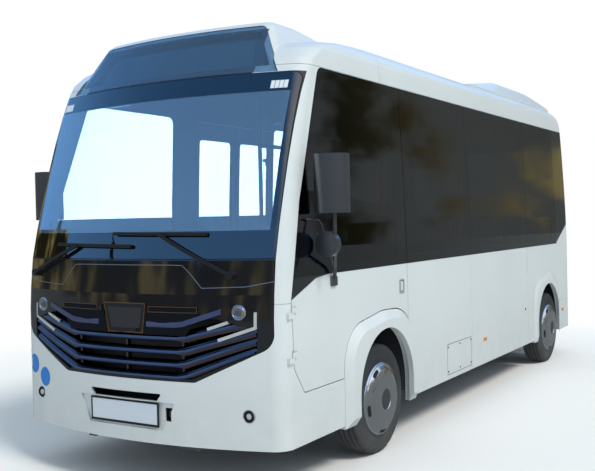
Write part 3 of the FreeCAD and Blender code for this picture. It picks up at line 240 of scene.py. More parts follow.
# Glossy body paint, with the black band where glass lies over it and a lining towards the cabin
def makePaint(name, blackBoxes, dust, lined):
    look = paintLook
    tree, shader, colour, height = grainedMaterial(name, 220, 2, 1.2, look["shade"], look["colour"])
    dirt = useGroup(tree, dustGroup, Low=look["dustFrom"], High=look["dustTo"], Amount=dust)["Mask"]
    colour = mix(tree, dirt, colour, look["dust"])
    rough = mathNode(tree, "ADD", times(tree, dirt, look["dustRough"]), look["rough"])
    for low, high in blackBoxes:
        colour = mix(tree, inBox(tree, low, high), colour, look["band"])
    if lined:
        rise = ramp(tree, splitAxes(tree, objectPlace(tree))["Z"], look["liningFrom"], look["liningTo"],
                    "LINEAR")
        facing = useGroup(tree, liningGroup, Centre=look["cabinCentre"])["Mask"]
        colour = mix(tree, facing, colour, mix(tree, rise, look["wall"], look["ceiling"]))
        rough = mathNode(tree, "MAXIMUM", rough, times(tree, facing, look["liningRough"]))
    setInputs(shader, Base_Color=colour, Roughness=rough, Coat_Weight=look["coat"],
              Coat_Roughness=look["coatRough"])
    addBump(tree, shader, height, 0.03, 0.0004)


def makePlain(name, colour, rough, metallic, scale, bump, coat=0, dust=0, contrast=0.6):
    tree, shader, base, height = grainedMaterial(name, scale, 3, contrast, scaled(colour, 0.75), colour)
    if dust:
        base = mix(tree, useGroup(tree, dustGroup, Low=0, High=1, Amount=dust)["Mask"], base,
                   paintLook["dust"])
    swing = times(tree, height, 0.25 * rough)
    setInputs(shader, Base_Color=base, Roughness=mathNode(tree, "ADD", swing, rough * 0.85),
              Metallic=metallic, Coat_Weight=coat, Coat_Roughness=0.04)
    addBump(tree, shader, height, bump, 0.001)


def makeGlass(name, colour, index=1.5, coat=0, clear=None, haze=0):
    tree, shader, tint, height = grainedMaterial(name, 3, 1, 0.3, colour, scaled(colour, 1.06))
    if clear:  # fired black border outside this box
        tint = mix(tree, inBox(tree, *clear), (0.0004, 0.0005, 0.0006), tint)
    setInputs(shader, Base_Color=tint, Roughness=0, Transmission_Weight=1 - haze, IOR=index, Coat_Weight=coat,
              Coat_IOR=1.6, Coat_Roughness=0)


def makeCloth(name, colour, fleckColour):
    tree, shader = newMaterial(name)
    weave = useGroup(tree, weaveGroup, Threads=260, Fleck=0.9)
    setInputs(shader, Base_Color=mix(tree, weave["Mask"], colour, fleckColour), Roughness=0.9,
              Sheen_Weight=0.3)
    addBump(tree, shader, weave["Height"], 0.4, 0.0008)


def makeGlow(name, colour, strength):
    tree, shader, base, height = grainedMaterial(name, 500, 1, 0.2, colour, (1, 1, 1))
    setInputs(shader, Base_Color=base, Roughness=0.2, Emission_Color=colour, Emission_Strength=strength)


coverLook = {"bright": (0.72, 0.73, 0.75), "shade": (0.50, 0.51, 0.53), "flat": (0.58, 0.62, 0.64),
             "flatRadius": 0.196, "hub": (0.05, 0.05, 0.052), "hubRadius": 0.066}


# Wheel disc: bright edge, flat grey middle and dark hub
def makeDisc(name, distance):
    look = coverLook
    tree, shader, colour, height = grainedMaterial(name, 60, 3, 0.5, look["shade"], look["bright"])
    centre = (0, along(distance), wheels["radius"])
    flat, hub = (useGroup(tree, ringGroup, Centre=centre, Outer=look[key])["Mask"]
                 for key in ("flatRadius", "hubRadius"))
    colour = mix(tree, hub, mix(tree, flat, colour, look["flat"]), look["hub"])
    setInputs(shader, Base_Color=colour, Metallic=times(tree, mathNode(tree, "SUBTRACT", 1, flat), 0.95),
              Roughness=mathNode(tree, "ADD", times(tree, flat, 0.32), 0.16))
    addBump(tree, shader, height, 0.02, 0.001)


# Lamp colours change with place: boxes of low corner, high corner and colour
def makeLampSet(name, base, parts):
    tree, shader, colour, height = grainedMaterial(name, 400, 1, 0.4, scaled(base, 0.8), base)
    for low, high, partColour in parts:
        colour = mix(tree, inBox(tree, low, high), colour, partColour)
    setInputs(shader, Base_Color=colour, Roughness=0.15, Coat_Weight=0.6, Coat_Roughness=0.02)
    addBump(tree, shader, height, 0.05, 0.0005)


bandTop = 2.5765
paints = {  # black boxes (low and high corner), dust, and whether the cabin side is lined
    "bodyPaint": ((), 0.35, False),
    "frontCapPaint": ([((-1.0036, -4, 1.405), (1.0036, along(0.75), 2.534)),
                       ((-0.70, -4, 2.53), (0.70, along(0.78), 2.84))], 0, True),
    "sideWallPaint": ([((-2, -4, 1.2885), (2, along(6), bandTop))], 0.35, True),
    "entryDoorPaint": ([((-2, -4, 0.5585), (2, 4, 2.495))], 0.35, True),
    "rearWallPaint": ([((-2, -4, 1.4965), (2, 4, bandTop))], 0.35, True),
    "roofPaint": ((), 0, True),
    "bumperPaint": ([((-0.30, along(0.028), 0.552), (0.30, along(0.5), 0.606)),
                     ((0.300, along(0.036), 0.425), (0.362, along(0.5), 0.53))], 0.35, False),
}
plains = {  # colour, roughness, metallic, grain scale, bump; then coat, dust and contrast where they differ
    "frontMaskGloss": ((0.011, 0.012, 0.016), 0.08, 0, 30, 0.01, 0.5),
    "louvreGloss": ((0.20, 0.15, 0.16), 0.2, 1, 30, 0.01),
    # the flat first louvre: a plain blue that is a painted sky reflection, where the other louvres are metal
    "louvreFront": ((0.045, 0.062, 0.155), 0.3, 0, 30, 0.01, 0.3),
    "chrome": ((0.72, 0.73, 0.75), 0.1, 1, 40, 0.01),
    "coverChrome": ((0.70, 0.72, 0.74), 0.14, 1, 25, 0.02, 0, 0, 0.4),
    "hubGrey": ((0.045, 0.05, 0.055), 0.45, 0, 200, 0.05),
    "goldTrim": ((0.30, 0.15, 0.06), 0.25, 0.8, 60, 0.01),
    "badgeGrey": ((0.045, 0.048, 0.056), 0.35, 0.3, 120, 0.05),
    "mirrorShell": ((0.17, 0.18, 0.20), 0.32, 0.85, 600, 0.05),
    "tyreRubber": ((0.024, 0.027, 0.032), 0.78, 0, 180, 0.25, 0, 0.3),
    "blackPlastic": ((0.014, 0.014, 0.015), 0.5, 0, 500, 0.15),
    "chassisPaint": ((0.018, 0.018, 0.019), 0.6, 0, 90, 0.2, 0, 0.6),
    "castIron": ((0.06, 0.06, 0.062), 0.65, 0.6, 150, 0.4, 0, 0.5),
    "floorCover": ((0.05, 0.052, 0.06), 0.7, 0, 900, 0.1),
    "cabinPlastic": ((0.03, 0.03, 0.034), 0.55, 0, 700, 0.3),
    "handrailPaint": ((0.62, 0.05, 0.03), 0.25, 0, 60, 0.02, 0.4),
    "lampLens": ((0.62, 0.63, 0.64), 0.12, 0.2, 30, 0.01, 0.8),
    "projectorGlass": ((0.10, 0.11, 0.13), 0.06, 0.3, 30, 0.01, 1),
    "amberLens": ((0.85, 0.24, 0.01), 0.25, 0, 200, 0.1, 0.6),
    "stickerBlue": ((0.01, 0.23, 0.72), 0.35, 0, 90, 0.02, 0.3),
    "plateGrey": ((0.70, 0.77, 0.84), 0.4, 0, 60, 0.02, 0.2),
    # near-black sheets that stand for the shade inside the grille slot and gaps: painted shade
    "gapBlack": ((0.0025, 0.0025, 0.0028), 0.9, 0, 200, 0.05),
    # dark seam lines and the lock, and the painted shade in the wheel covers' slots
    "seamDark": ((0.02, 0.02, 0.022), 0.8, 0, 200, 0.05),
    # pale blue-grey: a painted highlight along the service flap's edges on the black mask
    "flapEdge": ((0.16, 0.20, 0.26), 0.3, 0.2, 60, 0.01),
    "panelTeal": ((0.015, 0.085, 0.15), 0.5, 0, 40, 0.02),
}
glasses = {
    "screenGlass": {"colour": (0.44, 0.66, 0.86), "index": 1.62, "coat": 1, "haze": 0.13,
                    "clear": ((-0.957, -4, 1.573), (0.957, 4, 2.41))},
    "sideGlass": {"colour": (0.25, 0.27, 0.28)},
    "signGlass": {"colour": (0.55, 0.72, 0.82), "haze": 0.05},
}
lampSets = {
    "frontLamp": ((0.30, 0.31, 0.33), [(low, high, (0.46, 0.49, 0.50)) for low, high in (
        ((-1, -4, 0.90), (-0.855, 0, 1.12)), ((0.855, -4, 0.90), (1, 0, 1.12)),
        ((-0.86, -4, 0.90), (-0.59, 0, 1.052)), ((0.59, -4, 0.90), (0.86, 0, 1.052)))]),
    "rearLamp": ((0.45, 0.01, 0.008), [((-1, 2, 1.12), (1, 4, 1.25), (0.85, 0.24, 0.01)),
                                       ((-1, 2, 0.80), (1, 4, 0.92), (0.95, 0.97, 0.98))]),
}
for make, looks in ((makePaint, paints), (makePlain, plains), (makeLampSet, lampSets)):
    for name, look in looks.items():
        make(name, *look)
for name, look in glasses.items():
    makeGlass(name, **look)
for end, distance in wheels["axles"]:
    makeDisc("wheelCover" + end.capitalize(), distance)
makeCloth("seatCloth", (0.03, 0.045, 0.09), (0.10, 0.16, 0.30))
makeGlow("lightStrip", (0.42, 0.52, 0.60), 0.05)
print("stage: materials made")


def wear(mesh, look, smooth=False):
    mesh.materials.clear()
    mesh.materials.append(made[look])
    if smooth:
        mesh.polygons.foreach_set("use_smooth", [True] * len(mesh.polygons))


nodeLooks = {
    "bodyPaint": "arch_flares rear_bumper rear_hatch rear_roof_pod", "floorCover": "cabin_floor",
    "chassisPaint": "chassis_frame front_axle rear_axle",
    "cabinPlastic": "dashboard driver_partition driver_seat passenger_seats steering_wheel",
    "sideGlass": "driver_door_glass entry_door_front_glass entry_door_rear_glass left_side_glass "
                 "right_side_glass rear_window",
    "entryDoorPaint": "entry_door_front entry_door_rear", "bumperPaint": "front_bumper",
    "frontCapPaint": "front_cap", "frontLamp": "front_lamps", "frontMaskGloss": "front_mask",
    "wheelCoverFront": "front_left_rim front_right_rim", "wheelCoverRear": "rear_left_rim rear_right_rim",
    "tyreRubber": "front_left_tyre front_right_tyre rear_left_tyre rear_right_tyre",
    "louvreGloss": "grille_louvres", "handrailPaint": "handrails", "mirrorShell": "left_mirror right_mirror",
    "castIron": "left_knuckle right_knuckle power_unit",
    "sideWallPaint": "driver_door left_side_wall right_side_wall",
    "rearLamp": "rear_lamps", "rearWallPaint": "rear_wall", "roofPaint": "roof_panel",
    "signGlass": "sign_glass", "screenGlass": "windscreen", "blackPlastic": "wipers",
}
for look, names in nodeLooks.items():
    for name in names.split():
        wear(nodes[name].data, look)
print("stage: carried-over pieces painted")


# Camera, light and ground
cameraView = {"place": (3.7165, -7.2701, 1.6345), "yaw": 31.5213, "pitch": 1.1061, "roll": -1.2596,
              "lens": 52.595}
lighting = {
    "dome": (0.78, 0.93, 1.06), "domeStrength": 0.64, "skyHigh": (0.11, 0.34, 0.80),
    "skyLow": (0.24, 0.60, 1.25), "skyRange": (0.30, 0.72), "skyLeft": (1.15, 1.25, 1.40),
    "skyLeftRange": (0.25, 0.75),
    "trees": (0.035, 0.035, 0.018), "leaves": (0.70, 0.56, 0.22), "walls": (0.25, 0.27, 0.275),
    "road": (0.205, 0.225, 0.232), "beyondDark": (0.05, 0.06, 0.065), "beyondBright": (14, 14, 14),
    "sun": 1.95, "sunAngle": 18, "sunFrom": (0.62, -0.17, 0.80), "sunColour": (1, 0.955, 0.87),
    "floor": (0.88, 0.88, 0.88), "floorPale": (0.90, 0.90, 0.90), "floorFade": (3.5, 6.5), "floorSize": 60,
}


def addObject(name, data):
    thing = bpy.data.objects.new(name, data)
    bpy.context.scene.collection.objects.link(thing)
    return thing


def makeCamera():
    yaw, pitch, roll = (radians(cameraView[k]) for k in ("yaw", "pitch", "roll"))
    ahead = Vector((-sin(yaw) * cos(pitch), cos(yaw) * cos(pitch), -sin(pitch)))
    right = ahead.cross(Vector((0, 0, 1))).normalized()
    up = right.cross(ahead)
    turn = Matrix((cos(roll) * right + sin(roll) * up,
                   -sin(roll) * right + cos(roll) * up, -ahead)).transposed()
    camera = addObject("camera", bpy.data.cameras.new("camera"))
    camera.matrix_world = Matrix.Translation(cameraView["place"]) @ turn.to_4x4()
    camera.data.lens = cameraView["lens"]
    camera.data.sensor_width = 36
    camera.data.clip_end = 200
    bpy.context.scene.camera = camera


def blend(tree, factor, first, second):
    return feedInOrder(addNode(tree, "MixShader"), factor, first, second)[0]


def glowNode(tree, colour, strength=1):
    return addNode(tree, "Background", Color=colour, Strength=strength).outputs[0]


# Plain white behind the bus, a soft dome for light, sky with a tree line for reflections, and what is
# behind the bus for rays that come straight through its windows: bright to the right, shaded to the left
def makeWorld():
    world = bpy.data.worlds.new("daylight")
    bpy.context.scene.world = world
    world.use_nodes = True
    tree = world.node_tree
    tree.nodes.clear()
    place = objectPlace(tree, "Generated")
    across, ahead, height = splitAxes(tree, place)
    sky = mix(tree, ramp(tree, height, *lighting["skyRange"]), lighting["skyLow"], lighting["skyHigh"])
    sky = mix(tree, ramp(tree, across, *lighting["skyLeftRange"]), sky, lighting["skyLeft"])
    noise = addNode(tree, "TexNoise", Vector=place, Scale=4, Detail=6, Roughness=0.65)
    spread = ramp(tree, across, -0.25, 0.65, To_Min=0.62, To_Max=1.05)  # lower trees to the right
    treeTop = times(tree, mathNode(tree, "SUBTRACT", noise.outputs[0], 0.12), spread)
    patches = addNode(tree, "TexNoise", Vector=place, Scale=14, Detail=3)
    lit = ramp(tree, patches.outputs[0], 0.48, 0.68)
    scenery = mix(tree, ramp(tree, across, 0.05, 0.5),
                  mix(tree, lit, lighting["trees"], lighting["leaves"]),
                  mix(tree, lit, lighting["walls"], lighting["trees"]))  # houses to the left
    sky = mix(tree, below(tree, height, treeTop), sky, scenery)
    sky = mix(tree, below(tree, height, -0.01), sky, lighting["road"])
    toRight = mathNode(tree, "ADD", times(tree, across, -0.845), times(tree, ahead, -0.534))
    bright = times(tree, above(tree, toRight, 0), above(tree, height, 0.005))
    beyond = mix(tree, bright, lighting["beyondDark"], lighting["beyondBright"])
    path = addNode(tree, "LightPath").outputs
    bounces = mathNode(tree, "ADD", path["Diffuse Depth"], path["Glossy Depth"])
    through = times(tree, path["Is Transmission Ray"], below(tree, bounces, 0.5))
    light = glowNode(tree, lighting["dome"], lighting["domeStrength"])
    for seen, colour in ((path["Is Glossy Ray"], sky), (through, beyond), (path["Is Camera Ray"], (1, 1, 1))):
        light = blend(tree, seen, light, glowNode(tree, colour))
    addNode(tree, "OutputWorld", Surface=light)


# Pale ground that keeps the shadow near the bus and fades to plain white further out
def makeGround():
    size = lighting["floorSize"]
    mesh = bpy.data.meshes.new("ground")
    mesh.from_pydata([(-size, -size, 0), (size, -size, 0), (size, size, 0), (-size, size, 0)], [],
                     [(0, 1, 2, 3)])
    ground = addObject("ground", mesh)
    tree, shader, colour, height = grainedMaterial("paleFloor", 12, 3, 0.03, lighting["floor"],
                                                   lighting["floorPale"])
    setInputs(shader, Base_Color=colour, Roughness=0.95, Specular_IOR_Level=0)
    fade = ramp(tree, vectorNode(tree, "LENGTH", objectPlace(tree))["Value"], *lighting["floorFade"])
    seen = times(tree, fade, addNode(tree, "LightPath").outputs["Is Camera Ray"])
    plain = addNode(tree, "Emission", Color=(1, 1, 1), Strength=1)
    output = next(node for node in tree.nodes if node.type == "OUTPUT_MATERIAL")
    setInputs(output, Surface=blend(tree, seen, shader.outputs[0], plain.outputs[0]))
    wear(mesh, "paleFloor")
    ground.visible_glossy = False
    ground.visible_transmission = False


def makeSun():
    sun = addObject("sun", bpy.data.lights.new("sun", "SUN"))
    sun.data.energy = lighting["sun"]
    sun.data.angle = radians(lighting["sunAngle"])
    sun.data.color = lighting["sunColour"]
    sun.visible_glossy = False
    sun.rotation_euler = Vector(lighting["sunFrom"]).to_track_quat("Z", "Y").to_euler()


makeCamera()
makeWorld()
makeGround()
makeSun()
bpy.context.scene.view_settings.view_transform = "Standard"
print("stage: camera, light and ground made")


# Mesh tools
def meshFrom(name, build):
    mesh = bpy.data.meshes.new(name)
    bm = bmesh.new()
    build(bm)
    bmesh.ops.remove_doubles(bm, verts=bm.verts, dist=0.00001)
    bmesh.ops.recalc_face_normals(bm, faces=bm.faces)
    bm.to_mesh(mesh)
    bm.free()
    return mesh


def addPiece(name, form, body, look, smooth=True, bevel=0):  # form: a mesh, or what builds one
    mesh = form if isinstance(form, bpy.types.Mesh) else meshFrom(name, form)
    wear(mesh, look, smooth)
    piece = addObject(name, mesh)
    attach(piece, body)
    if bevel:
        edges = piece.modifiers.new("edges", "BEVEL")
        edges.width, edges.segments, edges.limit_method = bevel, 2, "ANGLE"
    return piece


def bridgeLoops(bm, loops, closed=True):
    count = len(loops[0])
    for near, far in zip(loops, loops[1:]):
        for i in range(count if closed else count - 1):
            j = (i + 1) % count
            bm.faces.new((near[i], near[j], far[j], far[i]))


def bridgeRings(bm, rings, closed=True, caps=True):
    loops = [[bm.verts.new(p) for p in ring] for ring in rings]
    bridgeLoops(bm, loops, closed)
    if caps:
        bm.faces.new(loops[0][::-1])
        bm.faces.new(loops[-1])


def bridgeRound(bm, rings):  # profiles set round an axis
    bridgeRings(bm, rings + [rings[0]], False, False)


def fillGrid(bm, grid, flip=False):
    for near, far in zip(grid, grid[1:]):
        for i in range(len(near) - 1):
            quad = (near[i], near[i + 1], far[i + 1], far[i])
            bm.faces.new(quad[::-1] if flip else quad)


def gridEdge(grid):
    return grid[0] + [line[-1] for line in grid[1:]] + grid[-1][-2::-1] + [line[0] for line in grid[-2:0:-1]]


def turns(count):  # angles of a full turn
    return [2 * pi * k / count for k in range(count)]


def revolve(bm, profile, segments):  # profile of radius and offset, about the X axis
    bridgeRound(bm, [[Vector((x, r * cos(a), r * sin(a))) for r, x in profile] for a in turns(segments)])


def tube(bm, points, radius, sideCount=10):  # round bar through points
    rings = []
    side = None
    for i, point in enumerate(points):
        run = (points[min(i + 1, len(points) - 1)] - points[max(i - 1, 0)]).normalized()
        if side is None:
            side = run.cross(Vector((0, 0, 1))).normalized()
        side = (side - run * side.dot(run)).normalized()
        other = run.cross(side)
        rings.append([point + side * (radius * cos(a)) + other * (radius * sin(a)) for a in turns(sideCount)])
    bridgeRings(bm, rings)


def roundedOutline(halfWidth, halfHeight, radius, steps=6):
    corners = []
    for cx, cy, start in ((1, 1, 0), (-1, 1, 90), (-1, -1, 180), (1, -1, 270)):
        for k in range(steps + 1):
            angle = radians(start + 90 * k / steps)
            corners.append((cx * (halfWidth - radius) + radius * cos(angle),
                            cy * (halfHeight - radius) + radius * sin(angle)))
    return corners


# Rays on to the finished panels, so that trim sits on them
def makeCaster(*names):
    trees = [BVHTree.FromPolygons([v.co for v in nodes[n].data.vertices],
                                  [p.vertices[:] for p in nodes[n].data.polygons]) for n in names]

    def cast(origin, direction):
        hits = [h for h in (t.ray_cast(Vector(origin), Vector(direction)) for t in trees) if h[0]]
        return min(hits, key=lambda h: h[3])[:2] if hits else (None, None)
    return cast


frontCast = makeCaster("front_bumper", "front_mask", "windscreen", "front_cap", "sign_glass")
signCast = makeCaster("sign_glass")
sideCasts = {1: makeCaster("left_side_wall", "driver_door", "rear_bumper", "arch_flares", "rear_wall"),
             -1: makeCaster("right_side_wall", "rear_bumper", "arch_flares", "rear_wall")}


# Tyres
tyre = {"side": ((0.2225, 0.082), (0.232, 0.0925), (0.246, 0.0965), (0.262, 0.0985), (0.268, 0.0975),
                 (0.274, 0.1005), (0.306, 0.1025), (0.330, 0.1005), (0.336, 0.1010), (0.342, 0.0985),
                 (0.356, 0.0935), (0.366, 0.0885)),  # radius and half width up the side wall
        "shoulder": ((0.0035, 0.080), (0.001, 0.072)), "segments": 168,
        "grooves": (0.058, 0.02, -0.02, -0.058), "grooveHalf": 0.005, "grooveDepth": 0.011,
        "blockDepth": 0.007}
wheelPlaces = [("%s_%s" % (end, label), sign, Matrix.Translation((
    sign * wheels["track"], along(distance), wheels["radius"]))) for end, distance in wheels["axles"]
    for sign, label in sides]


def buildTyre(bm):
    r = wheels["radius"]
    tread = [(r - drop, x) for drop, x in tyre["shoulder"]]
    for groove in tyre["grooves"]:
        for step, drop in ((1, 0), (0.7, 1), (-0.7, 1), (-1, 0)):
            tread.append((r - drop * tyre["grooveDepth"], groove + step * tyre["grooveHalf"]))
    tread += [(r - drop, -x) for drop, x in reversed(tyre["shoulder"])]
    profile = [*tyre["side"], *tread, *((rad, -x) for rad, x in reversed(tyre["side"]))]
    rings = []
    for step, angle in enumerate(turns(tyre["segments"])):
        ring = []
        for rad, x in profile:
            cut = 0
            if rad > 0.365 and abs(x) > 0.06 and (step + (3 if x > 0 else 0)) % 6 == 0:
                cut = tyre["blockDepth"]  # shoulder blocks
            elif rad > 0.374 and abs(x) < 0.06 and (step + int(abs(x) * 100)) % 4 == 0:
                cut = tyre["blockDepth"] * 0.35  # fine cuts across the ribs
            ring.append(Vector((x, (rad - cut) * cos(angle), (rad - cut) * sin(angle))))
        rings.append(ring)
    bridgeRound(bm, rings)


tyreMesh = meshFrom("tyreTread", buildTyre)
for name, sign, place in wheelPlaces:
    mesh = tyreMesh.copy()
    mesh.transform(place)
    piece = addPiece(name + "_tread", mesh, name + "_wheel", "tyreRubber")
    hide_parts(name + "_tyre")


# Wheel covers: bright dished disc, dark hub and five slots, drawn as dark patches of painted shade
cover = {"profile": ((0.250, 0), (0.2485, 0.006), (0.243, 0.013), (0.226, 0.027), (0.200, 0.041),
                     (0.180, 0.0495), (0.170, 0.0525), (0.160, 0.0535), (0.110, 0.0545), (0.076, 0.0550),
                     (0.0725, 0.0540), (0.0700, 0.0495)),  # radius and how far out
         "hub": ((0.0705, 0.0480), (0.0660, 0.0510), (0.0400, 0.0535), (0.0005, 0.0540)), "seat": 0.093,
         "slots": 5, "slotStart": -24, "slotHalf": 11, "slotRadii": (0.208, 0.232), "slotLift": 0.0012}


def coverDepth(radius):
    for (r0, x0), (r1, x1) in zip(cover["profile"], cover["profile"][1:]):
        if r1 <= radius <= r0:
            return x0 + (x1 - x0) * (r0 - radius) / (r0 - r1)


def buildCover(bm):
    revolve(bm, [(r, x + cover["seat"]) for r, x in cover["profile"]], 96)


def buildHub(bm):
    revolve(bm, [(r, x + cover["seat"]) for r, x in cover["hub"]], 64)


# the slots are dark patches on the disc: painted shade where the holes are
def buildSlots(bm, columns=12, rows=4):
    low, high = cover["slotRadii"]
    for number in range(cover["slots"]):
        middle = radians(cover["slotStart"] + 360 * number / cover["slots"])
        grid = []
        for i in range(columns + 1):
            u = 2 * i / columns - 1
            angle = middle + radians(cover["slotHalf"]) * u
            half = (high - low) / 2 * sqrt(max(0, 1 - abs(u) ** 5))
            line = []
            for j in range(rows + 1):
                radius = (low + high) / 2 + half * (2 * j / rows - 1)
                lift = cover["slotLift"] * (1 if 0 < j < rows and 0 < i < columns else 0.2)
                x = cover["seat"] + coverDepth(radius) + lift
                line.append(bm.verts.new((x, radius * cos(angle), radius * sin(angle))))
            grid.append(line)
        fillGrid(bm, grid)


for name, sign, place in wheelPlaces:
    for part, build, look in (("cover", buildCover, "coverChrome"), ("hub", buildHub, "hubGrey"),
                              ("slots", buildSlots, "seamDark")):
        mesh = meshFrom(part, build)
        mesh.transform(place @ Matrix.Diagonal((sign, 1, 1, 1)))
        if sign < 0:
            mesh.flip_normals()
        addPiece("%s_wheel_%s" % (name, part), mesh, name + "_wheel", look)
print("stage: tyres and wheel covers made")


# Seats
seats = {"cushion": (0.38, 0.44, 0.075), "back": (0.38, 0.50, 0.065), "cushionSeams": (-0.3, 0.35),
         "backSeams": (-0.45, 0.1, 0.6), "voxel": 0.006, "pressure": 4, "frames": 20, "cap": 0.014,
         "keep": 0.4, "seam": 0.009, "seamWidth": 0.085, "smaller": (0.97, 0.97, 0.94, 1), "fill": 0.7,
         "rows": ((2.25, 0.825, (0.80, 0.392)), (3.05, 0.825, (0.80, 0.392)),
                  (3.85, 0.825, (0.80, 0.392, -0.80)), (5, 1.07, (-0.43, 0.43)),
                  (5.6, 1.07, (-0.80, -0.392, 0.392, 0.80))),  # distance, height, x
         "driver": (0.43, 1.13, 1.08), "driverWide": 1.25, "cushionTilt": -3, "backLean": atan2(0.100, 0.580),
         "cushionAt": (0.215, -0.008), "backAt": (0.452, 0.29)}  # behind the row's place, above its height


def bakedMesh(thing):
    return bpy.data.meshes.new_from_object(thing.evaluated_get(bpy.context.evaluated_depsgraph_get()))


# Swells a closed pad as cloth with air pressure in it, and holds each point within a cap
def swellPad(name, mesh):
    rough = addObject(name + "Rough", mesh)
    voxels = rough.modifiers.new("voxels", "REMESH")
    voxels.mode, voxels.voxel_size = "VOXEL", seats["voxel"]
    start = bakedMesh(rough)
    pad = addObject(name + "Swell", start)
    cloth = pad.modifiers.new("swell", "CLOTH")
    cloth.settings.use_pressure, cloth.settings.uniform_pressure_force = True, seats["pressure"]
    cloth.settings.effector_weights.gravity = 0
    cloth.point_cache.frame_start, cloth.point_cache.frame_end = 1, seats["frames"]
    for step in range(1, seats["frames"] + 1):
        bpy.context.scene.frame_set(step)
    swollen = bakedMesh(pad)
    for before, after in zip(start.vertices, swollen.vertices):
        move = after.co - before.co
        if move.length > seats["cap"]:
            after.co = before.co + move * (seats["cap"] / move.length)
    pad.modifiers.remove(cloth)
    pad.data = swollen
    pad.modifiers.new("fewer", "DECIMATE").ratio = seats["keep"]
    finished = bakedMesh(pad)
    finished.name = name
    for old in (rough, pad):
        bpy.data.objects.remove(old)
    bpy.context.scene.frame_set(1)
    return finished


def padMesh(name, width, length, height, seams):
    mesh = bpy.data.meshes.new(name)
    bm = bmesh.new()
    columns, rows = 14, 16
    grids = []
    for upper in (True, False):
        grid = []
        for j in range(rows + 1):
            line = []
            for i in range(columns + 1):
                u, v = 2 * i / columns - 1, 2 * j / rows - 1
                crown = (1 - abs(u) ** 4) * (1 - abs(v) ** 4)
                pull = 1 - 0.025 * (u * u + v * v - abs(u * v))
                rise = (0.55 + 0.45 * crown ** 0.5) * height if upper else 0
                line.append(bm.verts.new((u * width / 2 * pull, v * length / 2 * pull, rise)))
            grid.append(line)
        fillGrid(bm, grid, not upper)
        grids.append(grid)
    top, low = (gridEdge(grid) for grid in grids)
    for k in range(len(top)):
        n = (k + 1) % len(top)
        bm.faces.new((top[k], low[k], low[n], top[n]))
    bmesh.ops.recalc_face_normals(bm, faces=bm.faces)
    bm.to_mesh(mesh)
    bm.free()
    mesh.transform(Matrix.Diagonal(seats["smaller"]))
    mesh = swellPad(name, mesh)
    for vertex in mesh.vertices:  # seams sewn across the pad after it has swollen
        if vertex.co.z > height * 0.45:
            v = 2 * vertex.co.y / length
            vertex.co.z -= seats["seam"] * sum(max(0, 1 - (abs(v - c) / seats["seamWidth"]) ** 1.5)
                                               for c in seams)
    wear(mesh, "seatCloth", True)
    return mesh


cushionMesh = padMesh("seatCushion", *seats["cushion"], seats["cushionSeams"])
backMesh = padMesh("seatBack", *seats["back"], seats["backSeams"])


def placePad(name, mesh, matrix):
    piece = addObject(name, mesh)
    piece.matrix_world = matrix
    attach(piece, "body")


def placeSeat(name, x, distance, height, wide=1):
    for pad, mesh, turn in (("cushion", cushionMesh, radians(seats["cushionTilt"])),
                            ("back", backMesh, pi / 2 - seats["backLean"])):
        behind, rise = seats[pad + "At"]
        place = (Matrix.Translation((x, along(distance + behind), height + rise))
                 @ Matrix.Rotation(turn, 4, "X"))
        placePad("%s_%s" % (name, pad), mesh, place @ Matrix.Diagonal((wide, 1, 1, 1)))


seatPlaces = [(x, distance, height) for distance, height, row in seats["rows"] for x in row]
for number, place in enumerate(seatPlaces):
    placeSeat("seat%02d" % number, *place)
placeSeat("driverSeat", *seats["driver"], seats["driverWide"])
print("stage: seats made")


# Front of the bus: places on it, and plates that follow it
planRadius = 3


def faceY(x):  # upright part of the front, from its plan radius
    return frontY + planRadius - sqrt(planRadius ** 2 - x * x)


def hitFront(cast, x, z):
    return cast((x, frontY - 1, z), (0, 1, 0))


def facePoint(x, z, inset=0):  # on the panels, and on the smooth form over an opening low down
    hit, normal = hitFront(frontCast, x, z)
    met = hit is not None and (z > 1.2 or abs(hit.y - faceY(x)) < 0.02)
    return Vector((x, (hit.y if met else faceY(x)) + inset, z))


def platePoint(x, z, inset=0):  # on the smooth form everywhere
    return Vector((x, faceY(x) + inset, z))


def flatAt(stand):  # on an upright plane
    return lambda x, z, inset: Vector((x, frontY + stand + inset, z))


flatPoint, sheetPoint = flatAt(0.0030), flatAt(0.0035)  # for the badge tile and for the number plate


def partWay(a, b, share, whole):  # the point share / whole of the way from a to b
    return [p + (q - p) * share / whole for p, q in zip(a, b)]


def facePlate(bm, corners, inset, thickness, place=facePoint, columns=10, rows=4):
    grids = []
    for depth in (inset, inset + thickness):
        grid = []
        for j in range(rows + 1):
            left, right = partWay(corners[0], corners[3], j, rows), partWay(corners[1], corners[2], j, rows)
            grid.append([bm.verts.new(place(*partWay(left, right, i, columns), depth))
                         for i in range(columns + 1)])
        grids.append(grid)
    for grid in grids:
        fillGrid(bm, grid)
    bridgeLoops(bm, [gridEdge(grid) for grid in grids])


def addPlate(name, corners, inset, thickness, look, place=facePoint, bevel=0):
    addPiece(name, lambda bm: facePlate(bm, corners, inset, thickness, place), "body", look, False,
             bevel)


def grown(corners, border):
    middle = [sum(c[k] for c in corners) / 4 for k in (0, 1)]
    return [[c[k] + (border if c[k] > middle[k] else -border) for k in (0, 1)] for c in corners]


def addFrame(name, corners, border, inset, thickness, look, place=platePoint):
    outer = grown(corners, border)

    def build(bm):
        for k, n in ((0, 1), (1, 2), (2, 3), (3, 0)):
            facePlate(bm, (corners[k], corners[n], outer[n], outer[k]), inset, thickness, place, 6, 1)
    addPiece(name, build, "body", look, False, 0.002)


# Blank badge tile, and the slot and gap on each side of it, filled with thin black sheets of painted shade
badge = {"corners": ((-0.116, 1.117), (0.164, 1.117), (0.140, 0.992), (-0.084, 0.990)), "border": 0.022,
         "slot": ((0.212, 1.124), (0.543, 1.124), (0.543, 1.096), (0.212, 1.096)),
         "gap": ((0.150, 1.090), (0.570, 1.092), (0.470, 0.957), (0.105, 0.957))}

